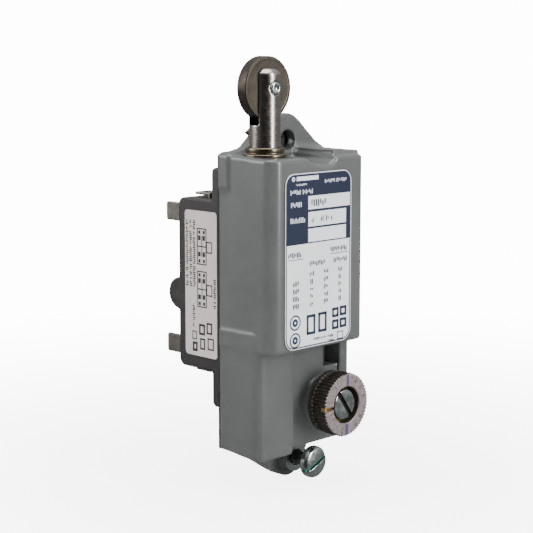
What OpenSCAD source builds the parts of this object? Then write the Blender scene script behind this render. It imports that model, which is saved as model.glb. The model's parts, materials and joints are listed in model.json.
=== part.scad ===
// Heavy-duty roller-plunger limit switch for cavity mounting.
// The row frame has +Z up and the front face towards -Y. The origin lies on the back face of
// the body gasket, midway between the two mounting holes.

/* [Housing] */
// Width of the cast head
body_w = 54.6; // [54:0.1:56]
// Height of the cast head without its ears
body_h = 121.1; // [120:0.1:122]
// Depth of the upper block, from the gasket to the nameplate
upper_d = 29.6; // [29.2:0.1:31]
// Depth of the lower block
lower_d = 22.4; // [22:0.1:23]
// Height of the lower block
lower_h = 42.8; // [42:0.1:44]
// Radius of the upright front edge on the plunger's side
edge_r = 6; // [3:0.5:8]
// Distance between the two mounting holes
hole_pitch = 134.6; // [134:0.1:136]
// Radius of a mounting hole
hole_r = 4.1; // [4:0.1:4.3]
// Thickness of the mounting ears
ear_t = 5; // [4.5:0.1:5.5]
// Thickness of the body gasket
gasket_t = 1.2; // [1:0.1:1.5]

/* [Plunger] */
// Diameter of the push rod
rod_d = 12.7; // [12.5:0.1:12.9]
// Diameter of the roller
roller_d = 25.4; // [24:0.1:26]
// Width of the roller
roller_w = 5.2; // [5:0.1:5.4]
// Travel of the push rod
rod_travel = 5; // [4:0.5:5]

/* [Trip adjuster] */
// Diameter of the knurled dial
dial_d = 26.5; // [26:0.1:27]
// Length of the knurled dial
dial_l = 6.5; // [6:0.1:7]
// Number of knurl teeth
dial_teeth = 56; // [40:2:64]
// Diameter of the lock screw's head
lock_head_d = 12.5; // [11:0.5:13]

/* [Snap switch] */
// Width of the moulded switch case
case_w = 18; // [17:0.5:18.5]
// Thickness of the case flange
flange_t = 7.1; // [7:0.1:7.5]
// Reach of the case body behind the gasket
case_back = 26.3; // [26:0.1:27]

/* [Hidden] */
$fn = 64;
eps = 0.02;       // overlap that lets a cut break through a face
run_gap = 0.05;   // radial clearance of a running fit
free_gap = 0.3;   // clearance between parts that pass each other

// Planes of the cast head
right_x = 20;
left_x = right_x - body_w;
bottom_z = -58.8;
top_z = bottom_z + body_h;
step_z = bottom_z + lower_h;
column_x = -14.1;
back_y = -gasket_t;
upper_y = back_y - upper_d;
lower_y = back_y - lower_d;
recess_y = lower_y + 1.5;
far_edge_r = 1;
mount_z = hole_pitch / 2;
ear_y = back_y - ear_t;
lug_y = ear_y - 1;
lug_boss_y = lug_y - 3.1;
lug_boss_r = 5.8;

// Axes of the moving parts
rod_x = -23.15;
rod_y = -16;
roller_z = 89.4;
roller_y = rod_y + 0.5;
rod_top_z = 97.2;
rod_bottom_z = 14.5;
shoulder_z = 33;
slot_floor_z = 74.9;
pin_r = 2.5;
stop_ring_z = 34.2;
bushing_low_z = 36;
seat_z = 17.5;
seat_t = 2;
lever_y = -5;
lever_z = 9.2;
lever_arm = 11;
nose_arm = 6.5;
lever_rest = 13;
button_z = lever_z - nose_arm;
rocker_y = -12;
rocker_z = -14;
dial_x = 3;
dial_z = -40.5;

// Left column cavity
cav_left = -31;
cav_right = -15.3;
wall = 3.5;

// Trip adjuster, from the front
dial_front_y = -37.5;
dial_rear_y = dial_front_y + dial_l;
dial_floor_y = dial_rear_y - 2;
dial_bore_r = 7.75;
boss_r = 9;
boss_y = -27.8;
index_t = 2.9;
pocket_y = -20.6;
nut_y = -18.4;
nut_end_y = -15.3;
nut_w = 9;

// Captive screw
screw_r = 3.175;
screw_neck_r = 2.9;
screw_head_r = 6.8;
screw_head_y = -24.2;
screw_head_t = 4.2;
screw_tip_y = 6.8;
washer_t = 1.5;

// Snap switch
case_x0 = rod_x - case_w / 2;
case_x1 = rod_x + case_w / 2;
cover_t = 2.5;
split_x = case_x1 - cover_t;
flange_y = back_y + flange_t;
flange_z0 = -42.5;
flange_z1 = 57.1;
case_z0 = -27.9;
case_z1 = 43.6;
case_wall = 2;
inner_front_y = 1.8;
boss_back_r = 6.7;
contact_pitch = 20;
front_blade_y = 12.4;
rear_blade_y = 21.2;
blade_t = 1.2;
bar_y = 15.8;
rear_z_top = 36.4;
rear_z_bottom = -20.7;
rear_end_y = 39.8;
flange_screw_z = [-35.3, 50.5];

// Colours
paint = "#6f7674";
black = "#2a2929";
rubber = "#1b1b1b";
steel = "#8f8d88";
zinc = "#b9beba";
bronze = "#8a7048";
brass = "#b8923f";
die_cast = "#a89c9a";

// A cylinder along +Y that starts at y
module y_cyl(x, y, z, r, len) {
    translate([x, y, z]) rotate([-90, 0, 0]) cylinder(r = r, h = len);
}

// A cylinder along +X that starts at x
module x_cyl(x, y, z, r, len) {
    translate([x, y, z]) rotate([0, 90, 0]) cylinder(r = r, h = len);
}

// A ring along +Y
module y_ring(x, y, z, r_out, r_in, len) {
    difference() {
        y_cyl(x, y, z, r_out, len);
        y_cyl(x, y - eps, z, r_in, len + 2 * eps);
    }
}

// A box between two corners
module block(a, b) {
    translate(a) cube(b - a);
}

// A rectangle with round corners, in exact arcs
module round_rect(a, b, r) {
    translate([a.x + r, a.y]) square([b.x - a.x - 2 * r, b.y - a.y]);
    translate([a.x, a.y + r]) square([b.x - a.x, b.y - a.y - 2 * r]);
    for (x = [a.x + r, b.x - r])
        for (y = [a.y + r, b.y - r])
            translate([x, y]) circle(r);
}

// Carries an outline drawn in X and Z from y0 to y1
module along_y(y0, y1) {
    translate([0, y1, 0]) rotate([90, 0, 0]) linear_extrude(y1 - y0) children();
}

// Carries an outline drawn in Y and Z from x0 to x1
module along_x(x0, x1) {
    translate([x0, 0, 0]) rotate([90, 0, 90]) linear_extrude(x1 - x0) children();
}

// Plan outline of a block with a round front edge on the left and a nearly sharp one on the right
module block_plan(front_y, r) {
    translate([left_x, front_y + r]) square([body_w, back_y - front_y - r]);
    translate([left_x + r, front_y]) square([body_w - r - far_edge_r, r + eps]);
    translate([left_x + r, front_y + far_edge_r]) square([body_w - r, r]);
    translate([left_x + r, front_y + r]) circle(r);
    translate([right_x - far_edge_r, front_y + far_edge_r]) circle(far_edge_r);
}

// Outline of the upper ear: a round eye, a shoulder on the right and a barb on the left
module top_ear_outline(inset = 0) {
    eye_r = 11.2 - inset;
    eye_x = -1;
    edge_x = left_x + inset;
    translate([eye_x, mount_z]) circle(eye_r);
    polygon([
        [edge_x, top_z - 3], [edge_x, top_z - inset], [inset - 27.7, top_z + 1.4 - inset],
        [inset - 23.5, top_z + 2.9 - inset], [inset - 17.9, 70.3 - inset],
        [inset - 20.2, 71.7 - inset], [-5.2, 77.7 - inset], [6.9, 75.3 - inset],
        [16.6 - inset, 66.8 - inset], [right_x - inset, 64 - inset], [right_x - inset, top_z - 3]
    ]);
}

// Outline of the lower ear
module bottom_ear_outline() {
    eye_r = 9;
    translate([0, -mount_z]) circle(eye_r);
    polygon([
        [-29.6, bottom_z + 3], [-29.6, bottom_z], [-6.5, -74], [6.4, -73.6], [15, bottom_z],
        [15, bottom_z + 3]
    ]);
}

// The valley in the top face that gives a screwdriver room above the upper ear's screw
module top_valley_outline() {
    polygon([
        [-13.8, top_z + 4], [-13.8, top_z], [-11.5, 60], [-6, 58.6], [-0.5, 58.6], [3, 60.8],
        [5.6, top_z + 1.9], [5.6, top_z + 4]
    ]);
}

// The cavity that opens to the back, behind the gasket and the snap switch
module housing_cavity() {
    lower_floor_y = lower_y + wall;
    foot_floor_y = -16;
    foot_top_z = -31.5;
    block([cav_left, upper_y + wall, step_z + 4], [cav_right, 0, bushing_low_z]);
    block([cav_left, lower_floor_y, foot_top_z - 1], [cav_right, 0, step_z + 5]);
    block([cav_left, foot_floor_y, -53], [right_x - wall, 0, foot_top_z]);
    block([cav_left, -12, foot_top_z - 1], [right_x - wall, 0, -28]);
    block([cav_right + 3.3, upper_y + wall, step_z + 5], [right_x - wall, 0, 46]);
    nut_slot = nut_w / 2 + free_gap;
    block([dial_x - nut_slot, pocket_y, dial_z - nut_slot],
          [dial_x + nut_slot, foot_floor_y + 1, dial_z + nut_slot]);
}

// Pillar that takes the lower flange screw
module screw_pillar() {
    block([cav_left - 1, -10.5, -39], [rod_x, back_y, -31.6]);
    y_cyl(rod_x, -10.5, flange_screw_z[0], 4.2, 10.5 - gasket_t);
}

// Ledges that hold the spring seat
module seat_ledges() {
    ledge = 1.2;
    block([cav_left - eps, upper_y + wall, seat_z - 1.8], [cav_left + ledge, -9, seat_z]);
    block([cav_right - ledge, upper_y + wall, seat_z - 1.8], [cav_right + eps, -9, seat_z]);
}

// Shallow panel to the right of the left column, and the deep notch between dial and upper block
module lower_front_recess() {
    strip_x = 13.6;
    block([column_x, lower_y - 1, bottom_z - 1], [strip_x, recess_y, step_z - eps]);
    block([5.4, lower_y - 1, -27], [strip_x, lower_y + 8, step_z - eps]);
}

// Foot of the left column, which reaches further down towards the front
module column_foot() {
    drop = 2.2;
    intersection() {
        translate([0, 0, bottom_z - drop]) linear_extrude(drop + 1) block_plan(lower_y, 4);
        along_x(left_x, column_x)
            polygon([
                [back_y, bottom_z + 1], [back_y, bottom_z], [lower_y, bottom_z - drop],
                [lower_y, bottom_z + 1]
            ]);
    }
}

module housing_shell() {
    translate([0, 0, step_z]) linear_extrude(top_z - step_z) block_plan(upper_y, edge_r);
    difference() {
        translate([0, 0, bottom_z]) linear_extrude(lower_h + eps) block_plan(lower_y, 4);
        lower_front_recess();
    }
    along_y(upper_y + 4, back_y)
        polygon([[5.6, top_z - 1], [5.6, top_z + 1.9], [right_x, top_z + 1], [right_x, top_z - 1]]);
    column_foot();
    along_y(ear_y, back_y) top_ear_outline();
    along_y(lug_y, back_y) bottom_ear_outline();
    y_cyl(0, lug_boss_y, -mount_z, lug_boss_r, lug_y - lug_boss_y + 1);
    y_cyl(dial_x, boss_y, dial_z, boss_r, back_y - boss_y);
}

module housing() {
    color(paint) difference() {
        union() {
            difference() {
                housing_shell();
                housing_cavity();
            }
            screw_pillar();
            seat_ledges();
        }
        along_y(upper_y - 1, ear_y) top_valley_outline();
        translate([rod_x, rod_y, bushing_low_z - 1]) cylinder(r = 7.95, h = 40);
        y_cyl(dial_x, boss_y - 1, dial_z, 6, 10);
        for (z = [-mount_z, mount_z])
            y_cyl(0, lug_boss_y - 1, z, hole_r, 12);
        for (z = flange_screw_z)
            y_cyl(rod_x, -7.5, z, 2, 8);
        y_cyl(rod_x, lower_y + 1.1, -20, 1.5, 5);
    }
}

// Sheet gasket: the housing's outline with a window for the snap switch. Its upper hole is undersize,
// so that the rubber grips the upper mounting screw.
module body_gasket() {
    inset = 0.4;
    window_gap = 0.3;
    grip_r = 2;
    color(rubber) difference() {
        union() {
            block([left_x + inset, back_y, bottom_z], [right_x - inset, 0, top_z]);
            along_y(back_y, 0) top_ear_outline(0.8);
            along_y(back_y, 0) bottom_ear_outline();
        }
        block([case_x0 - window_gap, back_y - 1, flange_z0 - window_gap],
              [case_x1 + window_gap, 1, flange_z1 + window_gap]);
        y_cyl(0, back_y - 1, -mount_z, screw_r + free_gap, 4);
        y_cyl(0, back_y - 1, mount_z, grip_r, 4);
    }
}

module nameplate() {
    color("#e4e4e4") along_y(upper_y - 0.5, upper_y)
        round_rect([-27.1, -14.8], [11.7, 56.1], 5);
}

module plunger_bushing() {
    color(bronze) translate([rod_x, rod_y, 0]) difference() {
        union() {
            translate([0, 0, bushing_low_z]) cylinder(r = 7.95, h = 30);
            translate([0, 0, top_z]) cylinder(r = 8.8, h = 1.3);
        }
        translate([0, 0, bushing_low_z - 1]) cylinder(r = rod_d / 2 + run_gap, h = 40);
        translate([0, 0, 63.4]) cylinder(r = 7.35, h = 5);
        translate([0, 0, 46]) rotate([0, 90, 0]) cylinder(r = 1.2, h = 9);
    }
}

module plunger_wiper() {
    color(rubber) translate([rod_x, rod_y, 63.4]) difference() {
        cylinder(r = 7.35, h = 2.3);
        translate([0, 0, -1]) cylinder(r = rod_d / 2 + run_gap, h = 5);
    }
}

// Dowel that runs in the rod's keyway and stops the rod from turning
module rod_key_pin() {
    color(steel) x_cyl(rod_x + 5.4, rod_y, 46, 1.2, 2.4);
}

module push_rod() {
    chamfer = 1.8;
    slot_half = roller_w / 2 + free_gap;
    color("#b9b6b0") translate([rod_x, rod_y, 0]) difference() {
        union() {
            translate([0, 0, shoulder_z])
                cylinder(r = rod_d / 2, h = rod_top_z - chamfer - shoulder_z);
            translate([0, 0, rod_top_z - chamfer])
                cylinder(r1 = rod_d / 2, r2 = rod_d / 2 - chamfer, h = chamfer);
            translate([0, 0, rod_bottom_z]) cylinder(r = 4, h = shoulder_z - rod_bottom_z + eps);
        }
        translate([-rod_d, roller_y - rod_y - slot_half, slot_floor_z])
            cube([2 * rod_d, 2 * slot_half, 40]);
        translate([0, -rod_d, roller_z]) rotate([-90, 0, 0]) cylinder(r = pin_r, h = 2 * rod_d);
        translate([5.1, -1.5, 44]) cube([3, 3, rod_travel + 5]);
        translate([0, 0, stop_ring_z]) difference() {
            cylinder(r = rod_d, h = 1.5);
            translate([0, 0, -1]) cylinder(r = 5.5, h = 4);
        }
    }
}

module roller() {
    color("#6b6257") difference() {
        y_cyl(rod_x, roller_y - roller_w / 2, roller_z, roller_d / 2, roller_w);
        y_cyl(rod_x, roller_y - roller_w, roller_z, pin_r + run_gap, 2 * roller_w);
    }
}

module roller_pin() {
    half = rod_d / 2 + 0.35;
    color(zinc) y_cyl(rod_x, rod_y - half, roller_z, pin_r, 2 * half);
}

module rod_stop_ring() {
    color(steel) translate([rod_x, rod_y, stop_ring_z]) difference() {
        cylinder(r = 7.4, h = 1.5);
        translate([0, 0, -1]) cylinder(r = 5.5, h = 4);
    }
}

// Points of a ring of a coil's wire, at one step of its helix
function wire_ring(r, wire_r, a, z, sides) = [
    for (i = [0 : sides - 1])
        let (b = 360 * i / sides, d = r + wire_r * cos(b))
        [d * cos(a), d * sin(a), z + wire_r * sin(b)]
];

// A helical spring along +Z, with its ends cut square
module coil(r, wire_r, turns, len) {
    sides = 8;
    steps = round(turns * 14);
    rings = [
        for (k = [0 : steps])
            wire_ring(r, wire_r, 360 * turns * k / steps, wire_r + (len - 2 * wire_r) * k / steps, sides)
    ];
    points = [for (ring = rings) each ring];
    walls = [
        for (k = [0 : steps - 1], i = [0 : sides - 1])
            let (j = (i + 1) % sides, a = k * sides, b = a + sides)
            [a + i, b + i, b + j, a + j]
    ];
    first_cap = [for (i = [0 : sides - 1]) i];
    last_cap = [for (i = [sides - 1 : -1 : 0]) steps * sides + i];
    polyhedron(points, concat([first_cap], walls, [last_cap]));
}

module return_spring() {
    color("#9a9a94") translate([rod_x, rod_y, seat_z + seat_t])
        coil(5.2, 0.55, 5, shoulder_z - seat_z - seat_t);
}

module spring_seat() {
    color(zinc) difference() {
        block([cav_left, upper_y + wall, seat_z], [cav_right, -9, seat_z + seat_t]);
        translate([rod_x, rod_y, seat_z - 1]) cylinder(r = 4 + run_gap, h = 5);
    }
}

// A flat arm between two points of the Y-Z plane, with round eyes a little wider than the arm
module arm_outline(a, b, r) {
    d = b - a;
    half = 0.94 * r;
    translate(a) circle(r);
    translate(b) circle(r);
    translate(a) rotate(atan2(d.y, d.x)) translate([0, -half]) square([norm(d), 2 * half]);
}

// Bell-crank that turns the rod's travel through a right angle onto the switch button
module operating_lever() {
    half_w = 3.6;
    color(steel) translate([0, lever_y, lever_z]) rotate([-lever_rest, 0, 0]) difference() {
        along_x(rod_x - half_w, rod_x + half_w) union() {
            circle(3.5);
            arm_outline([0, 0], [-lever_arm, 0], 1.7);
            translate([-lever_arm, 0]) circle(2.5);
            arm_outline([0, 0], [0, -nose_arm], 1.5);
            translate([0, -nose_arm]) circle(2);
        }
        x_cyl(rod_x - 10, 0, 0, 1.5 + run_gap, 20);
    }
}

module lever_pin() {
    color(steel) x_cyl(-28.9, lever_y, lever_z, 1.5, 11.5);
}

// Rocker that carries the lever's pivot; the adjusting nut tilts it to shift the trip point
module trip_rocker() {
    plate_y = [-15, -12.5];
    color("#9b988f") difference() {
        union() {
            for (x = [-28.7, -19.1]) {
                along_x(x, x + 1.5) arm_outline([rocker_y, rocker_z], [lever_y, lever_z], 3.2);
                block([x, plate_y[0], -20], [x + 1.5, plate_y[1], rocker_z]);
            }
            block([-28.7, plate_y[0], -46], [-17.6, plate_y[1], -18.5]);
            block([-28.7, plate_y[0], -46], [8, plate_y[1], -34.5]);
        }
        x_cyl(-40, lever_y, lever_z, 1.5, 40);
        x_cyl(-40, rocker_y, rocker_z, 2 + run_gap, 40);
    }
}

module rocker_axle() {
    color(steel) x_cyl(-30.7, rocker_y, rocker_z, 2, 15.1);
}

module rocker_bracket() {
    cheek = 1.4;
    front_y = lower_y + wall;
    color(zinc) difference() {
        union() {
            for (x = [-30.6, -15.7 - cheek])
                along_x(x, x + cheek) union() {
                    translate([rocker_y, rocker_z]) circle(3.6);
                    translate([front_y, -24]) square([4.4, 13.5]);
                    translate([front_y, rocker_z - 3.6]) square([rocker_y - front_y, 7.2]);
                }
            block([-30.6, front_y, -24], [-15.7, front_y + cheek, -16]);
        }
        x_cyl(-40, rocker_y, rocker_z, 2, 40);
        y_cyl(rod_x, front_y - 1, -20, 1.7, 4);
    }
}

module bracket_screw() {
    head_y = lower_y + wall + 1.4;
    color(zinc) difference() {
        union() {
            y_cyl(rod_x, head_y, -20, 2.8, 1.8);
            y_cyl(rod_x, lower_y + 1.1, -20, 1.5, head_y - lower_y - 1);
        }
        block([rod_x - 3, head_y + 1, -20.4], [rod_x + 3, head_y + 3, -19.6]);
    }
}

module adjusting_dial() {
    tooth_r = 0.55;
    color(die_cast) difference() {
        y_cyl(dial_x, dial_front_y, dial_z, dial_d / 2, dial_l);
        y_cyl(dial_x, dial_front_y - 1, dial_z, dial_bore_r, dial_floor_y - dial_front_y + 1);
        y_cyl(dial_x, dial_front_y, dial_z, 2.6, dial_l + 1);
        for (k = [0 : dial_teeth - 1])
            translate([dial_x, dial_front_y + 0.9, dial_z]) rotate([0, 360 * k / dial_teeth, 0])
                translate([dial_d / 2 + 0.1, 0, 0]) rotate([-90, 0, 0]) rotate([0, 0, 45])
                    cylinder(r = tooth_r, h = dial_l, $fn = 4);
        block([dial_x - dial_d, dial_front_y - 1, dial_z - 1],
              [dial_x - dial_bore_r + 1, dial_front_y + 2, dial_z + 1]);
    }
}

// Brass key in the dial's radial slot, which marks the setting
module dial_key() {
    color(brass) block([dial_x - dial_d / 2 + 0.8, dial_front_y - 0.1, dial_z - 1],
                       [dial_x - dial_bore_r, dial_front_y + 2, dial_z + 1]);
}

module dial_lock_washer() {
    color(zinc) y_ring(dial_x, dial_floor_y - 0.6, dial_z, 5, 1.9, 0.6);
}

module dial_lock_screw() {
    head_y = dial_front_y + 0.8;
    head_t = dial_floor_y - 0.6 - free_gap - head_y;
    color(zinc) difference() {
        union() {
            y_cyl(dial_x, head_y, dial_z, lock_head_d / 2, head_t);
            y_cyl(dial_x, head_y, dial_z, 1.5, 9.5);
        }
        translate([dial_x, head_y, dial_z]) rotate([0, 50, 0])
            translate([-lock_head_d, -1, -0.9]) cube([2 * lock_head_d, 2.3, 1.8]);
    }
}

// Serrated ring behind the dial, fixed to the boss
module index_ring() {
    beads = 48;
    color(die_cast) difference() {
        y_ring(dial_x, boss_y - index_t, dial_z, dial_d / 2, 7.4, index_t);
        for (k = [0 : beads - 1])
            translate([dial_x, boss_y - index_t - 1, dial_z]) rotate([0, 360 * (k + 0.5) / beads, 0])
                translate([dial_d / 2 + 0.1, 0, 0]) rotate([-90, 0, 0]) rotate([0, 0, 45])
                    cylinder(r = 0.5, h = index_t, $fn = 4);
    }
}

module adjuster_bushing() {
    flange = 2.2;
    color(bronze) difference() {
        union() {
            y_cyl(dial_x, boss_y - flange, dial_z, 7, flange);
            y_cyl(dial_x, boss_y, dial_z, 6, pocket_y - boss_y);
            y_cyl(dial_x, pocket_y - eps, dial_z, 4.4, 1);
        }
        y_cyl(dial_x, boss_y - flange - 1, dial_z, 3 + run_gap, 14);
    }
}

module adjusting_spindle() {
    groove_y = -25;
    neck_y = -19.2;
    color(steel) difference() {
        union() {
            y_cyl(dial_x, dial_floor_y, dial_z, 2.6, 3);
            y_cyl(dial_x, dial_rear_y, dial_z, 4.2, 0.7);
            y_cyl(dial_x, dial_rear_y, dial_z, 3, neck_y - dial_rear_y);
            y_cyl(dial_x, neck_y, dial_z, 2.3, 3.6);
        }
        y_cyl(dial_x, dial_floor_y - 1, dial_z, 1.5 + run_gap, 8);
        y_ring(dial_x, groove_y, dial_z, 4, 2.2, 0.9);
    }
}

module spindle_seal() {
    color(rubber) translate([dial_x, -24.55, dial_z]) rotate([-90, 0, 0])
        rotate_extrude() translate([2.61, 0]) circle(0.4);
}

module spindle_clip() {
    color(steel) y_ring(dial_x, -19.2, dial_z, 4.5, 2.3, 0.5);
}

module adjusting_nut() {
    half = nut_w / 2;
    color(brass) difference() {
        block([dial_x - half, nut_y, dial_z - half], [dial_x + half, nut_end_y, dial_z + half]);
        y_cyl(dial_x, nut_y - 1, dial_z, 2.3 + run_gap, 10);
    }
}

module mounting_screw() {
    color(zinc) difference() {
        union() {
            y_cyl(0, screw_head_y + 0.9, -mount_z, screw_head_r, screw_head_t - 0.9);
            translate([0, screw_head_y, -mount_z]) rotate([-90, 0, 0])
                cylinder(r1 = screw_head_r - 0.9, r2 = screw_head_r, h = 0.9 + eps);
            y_cyl(0, screw_head_y + 1, -mount_z, screw_neck_r, -screw_head_y - 1 + eps);
            y_cyl(0, 0, -mount_z, screw_r, screw_tip_y);
        }
        translate([0, screw_head_y, -mount_z]) rotate([0, 48, 0])
            translate([-10, -1, -0.8]) cube([20, 3, 1.6]);
    }
}

module mounting_washer() {
    color(zinc) y_ring(0, lug_boss_y - washer_t, -mount_z, 6, 3.5, washer_t);
}

// Nylon ring pressed into the lower ear, which keeps the mounting screw captive
module screw_retainer() {
    color("#d8d2c2") y_ring(0, lug_boss_y, -mount_z, hole_r, screw_neck_r + run_gap, 7);
}

// Side view of the moulded case: a flange, a body and a half-round boss behind it
module case_outline(grow = 0) {
    round_rect([back_y, flange_z0], [flange_y, flange_z1], 2.2);
    translate([back_y, flange_z0]) square([2.2, flange_z1 - flange_z0]);
    round_rect([back_y, case_z0], [case_back, case_z1], 3);
    translate([case_back, button_z]) circle(boss_back_r);
}

// Hollow of the case, open to the right where the cover closes it
module case_hollow() {
    along_x(case_x0 + case_wall, split_x + 1)
        round_rect([inner_front_y, case_z0 + case_wall],
                   [case_back - case_wall, case_z1 - case_wall], 1);
    y_cyl(rod_x, case_back - case_wall - 1, button_z, 4.6, 7.5);
}

// Openings that let the front and the rear terminals out of the case
module terminal_slots() {
    block([rod_x - 4, front_blade_y, case_z0 - 5], [rod_x + 4, front_blade_y + blade_t, case_z1 + 5]);
    for (z = [rear_z_top, rear_z_bottom])
        block([-27.2, rear_blade_y + blade_t, z - 4], [-26, 40, z + 4]);
}

// Places of the screws that hold the cover, as y and z
function cover_screw_spots() = [[2.4, 45.2], [2.4, -30], [22.7, 13.2], [22.7, -7.8]];

module switch_case() {
    color(black) difference() {
        union() {
            difference() {
                along_x(case_x0, split_x) case_outline();
                case_hollow();
            }
            for (p = cover_screw_spots())
                x_cyl(case_x0 + 1, p.x, p.y, 2.4, split_x - case_x0 - 1);
        }
        y_cyl(rod_x, back_y - 1, button_z, 3 + run_gap, 5);
        terminal_slots();
        for (z = flange_screw_z) {
            y_cyl(rod_x, back_y - 1, z, 2.2, 10);
            y_cyl(rod_x, 2.7, z, 4, 5);
        }
        for (p = cover_screw_spots())
            x_cyl(case_x0 + 6, p.x, p.y, 1.1, case_w);
    }
}

module switch_cover() {
    color("#302e2d") difference() {
        along_x(split_x, case_x1) case_outline();
        for (p = cover_screw_spots()) {
            x_cyl(split_x - 1, p.x, p.y, 1.2, 5);
            translate([case_x1 - 1.2, p.x, p.y]) rotate([0, 90, 0])
                cylinder(r1 = 1.2, r2 = 2.4, h = 1.2 + eps);
        }
    }
}

module cover_screws() {
    color(zinc) for (p = cover_screw_spots())
        difference() {
            union() {
                x_cyl(case_x0 + 6, p.x, p.y, 1.1, 11);
                translate([case_x1 - 1.2, p.x, p.y]) rotate([0, 90, 0])
                    cylinder(r1 = 1.1, r2 = 2.3, h = 1.2);
            }
            block([case_x1 - 0.5, p.x - 3, p.y - 0.3], [case_x1 + 1, p.x + 3, p.y + 0.3]);
        }
}

module switch_label() {
    color("#c4beb6") along_x(case_x0 - 0.3, case_x0)
        round_rect([2.6, -22.4], [22.1, 38.7], 1.5);
}

module switch_button() {
    tip_y = -4.16;
    color("#5b5550") union() {
        y_cyl(rod_x, tip_y, button_z, 3, 11 - tip_y);
        y_cyl(rod_x, 10, button_z, 1.8, 17.5);
        y_cyl(rod_x, 20, button_z, 2.9, 1);
    }
}

// Button spring, drawn at its compressed length
module button_spring() {
    color(steel) translate([rod_x, 21, button_z]) rotate([-90, 0, 0]) coil(2.7, 0.4, 5, 6.6);
}

module contact_bridge() {
    half_z = contact_pitch + 3;
    color("#a8763e") difference() {
        block([rod_x - 3.5, bar_y, button_z - half_z],
              [rod_x + 3.5, bar_y + blade_t, button_z + half_z]);
        y_cyl(rod_x, bar_y - 1, button_z, 2.2, 5);
    }
}

// Silver contacts on both faces of both ends of the bridge
module moving_contacts() {
    color("#c9c9c4") for (side = [-1, 1]) {
        z = button_z + side * contact_pitch;
        y_cyl(rod_x, bar_y - 1, z, 2.2, 1);
        y_cyl(rod_x, bar_y + blade_t, z, 2.2, 1);
    }
}

module fixed_contacts() {
    color("#c9c9c4") for (side = [-1, 1]) {
        z = button_z + side * contact_pitch;
        y_cyl(rod_x, front_blade_y + blade_t, z, 2.2, 1);
        y_cyl(rod_x, rear_blade_y - 1, z, 2.2, 1);
    }
}

// Front terminal: a strap through the end wall with a drilled tab folded back on the case
module front_terminal(side) {
    end_z = side > 0 ? case_z1 + 1 : case_z0 - 1;
    inner_z = button_z + side * (contact_pitch - 3);
    tab_z = end_z + (side > 0 ? 0 : -blade_t);
    color(zinc) difference() {
        union() {
            block([rod_x - 4, front_blade_y, min(inner_z, end_z)],
                  [rod_x + 4, front_blade_y + blade_t, max(inner_z, end_z + side * blade_t)]);
            block([rod_x - 4, front_blade_y, tab_z], [rod_x + 4, front_blade_y + 9, tab_z + blade_t]);
        }
        translate([rod_x, front_blade_y + 5, end_z - 5]) cylinder(r = 1.9, h = 10);
    }
}

module terminal_front_top() {
    front_terminal(1);
}

module terminal_front_bottom() {
    front_terminal(-1);
}

// Rear terminal: a cross strap inside and a plain blade that leaves through the back wall
module rear_terminal(side, z) {
    inner_z = button_z + side * (contact_pitch - 3);
    color(zinc) union() {
        block([-27.2, rear_blade_y, min(inner_z, z - 4)],
              [rod_x + 3.5, rear_blade_y + blade_t, max(inner_z, z + 4)]);
        along_x(-27.2, -26) round_rect([rear_blade_y, z - 4], [rear_end_y, z + 4], 1);
    }
}

module terminal_rear_top() {
    rear_terminal(1, rear_z_top);
}

module terminal_rear_bottom() {
    rear_terminal(-1, rear_z_bottom);
}

module flange_screws() {
    color(zinc) for (z = flange_screw_z)
        difference() {
            union() {
                y_cyl(rod_x, 3.5, z, 3.5, 2.3);
                y_cyl(rod_x, -7.2, z, 2, 11);
            }
            block([rod_x - 4, 4.9, z - 0.5], [rod_x + 4, 7, z + 0.5]);
        }
}

module flange_lock_washers() {
    color(steel) for (z = flange_screw_z)
        y_ring(rod_x, 2.7, z, 3.5, 2.1, 0.8);
}

housing();
body_gasket();
nameplate();
plunger_bushing();
plunger_wiper();
rod_key_pin();
push_rod();
roller();
roller_pin();
rod_stop_ring();
return_spring();
spring_seat();
operating_lever();
lever_pin();
trip_rocker();
rocker_axle();
rocker_bracket();
bracket_screw();
adjusting_dial();
dial_key();
dial_lock_washer();
dial_lock_screw();
index_ring();
adjuster_bushing();
adjusting_spindle();
spindle_seal();
spindle_clip();
adjusting_nut();
mounting_screw();
mounting_washer();
screw_retainer();
switch_case();
switch_cover();
cover_screws();
switch_label();
switch_button();
button_spring();
contact_bridge();
moving_contacts();
fixed_contacts();
terminal_front_top();
terminal_front_bottom();
terminal_rear_top();
terminal_rear_bottom();
flange_screws();
flange_lock_washers();
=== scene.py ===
"""Looks of a heavy-duty roller-plunger limit switch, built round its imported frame.

Lengths in the classes are millimetres in the frame's own axes: +Z up, -Y to the front. Every mesh is
made in those millimetres and written to its object in metres.
"""

import json
import logging
import math
from dataclasses import dataclass, field
from enum import Enum
from typing import Callable, Iterable, Sequence

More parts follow.
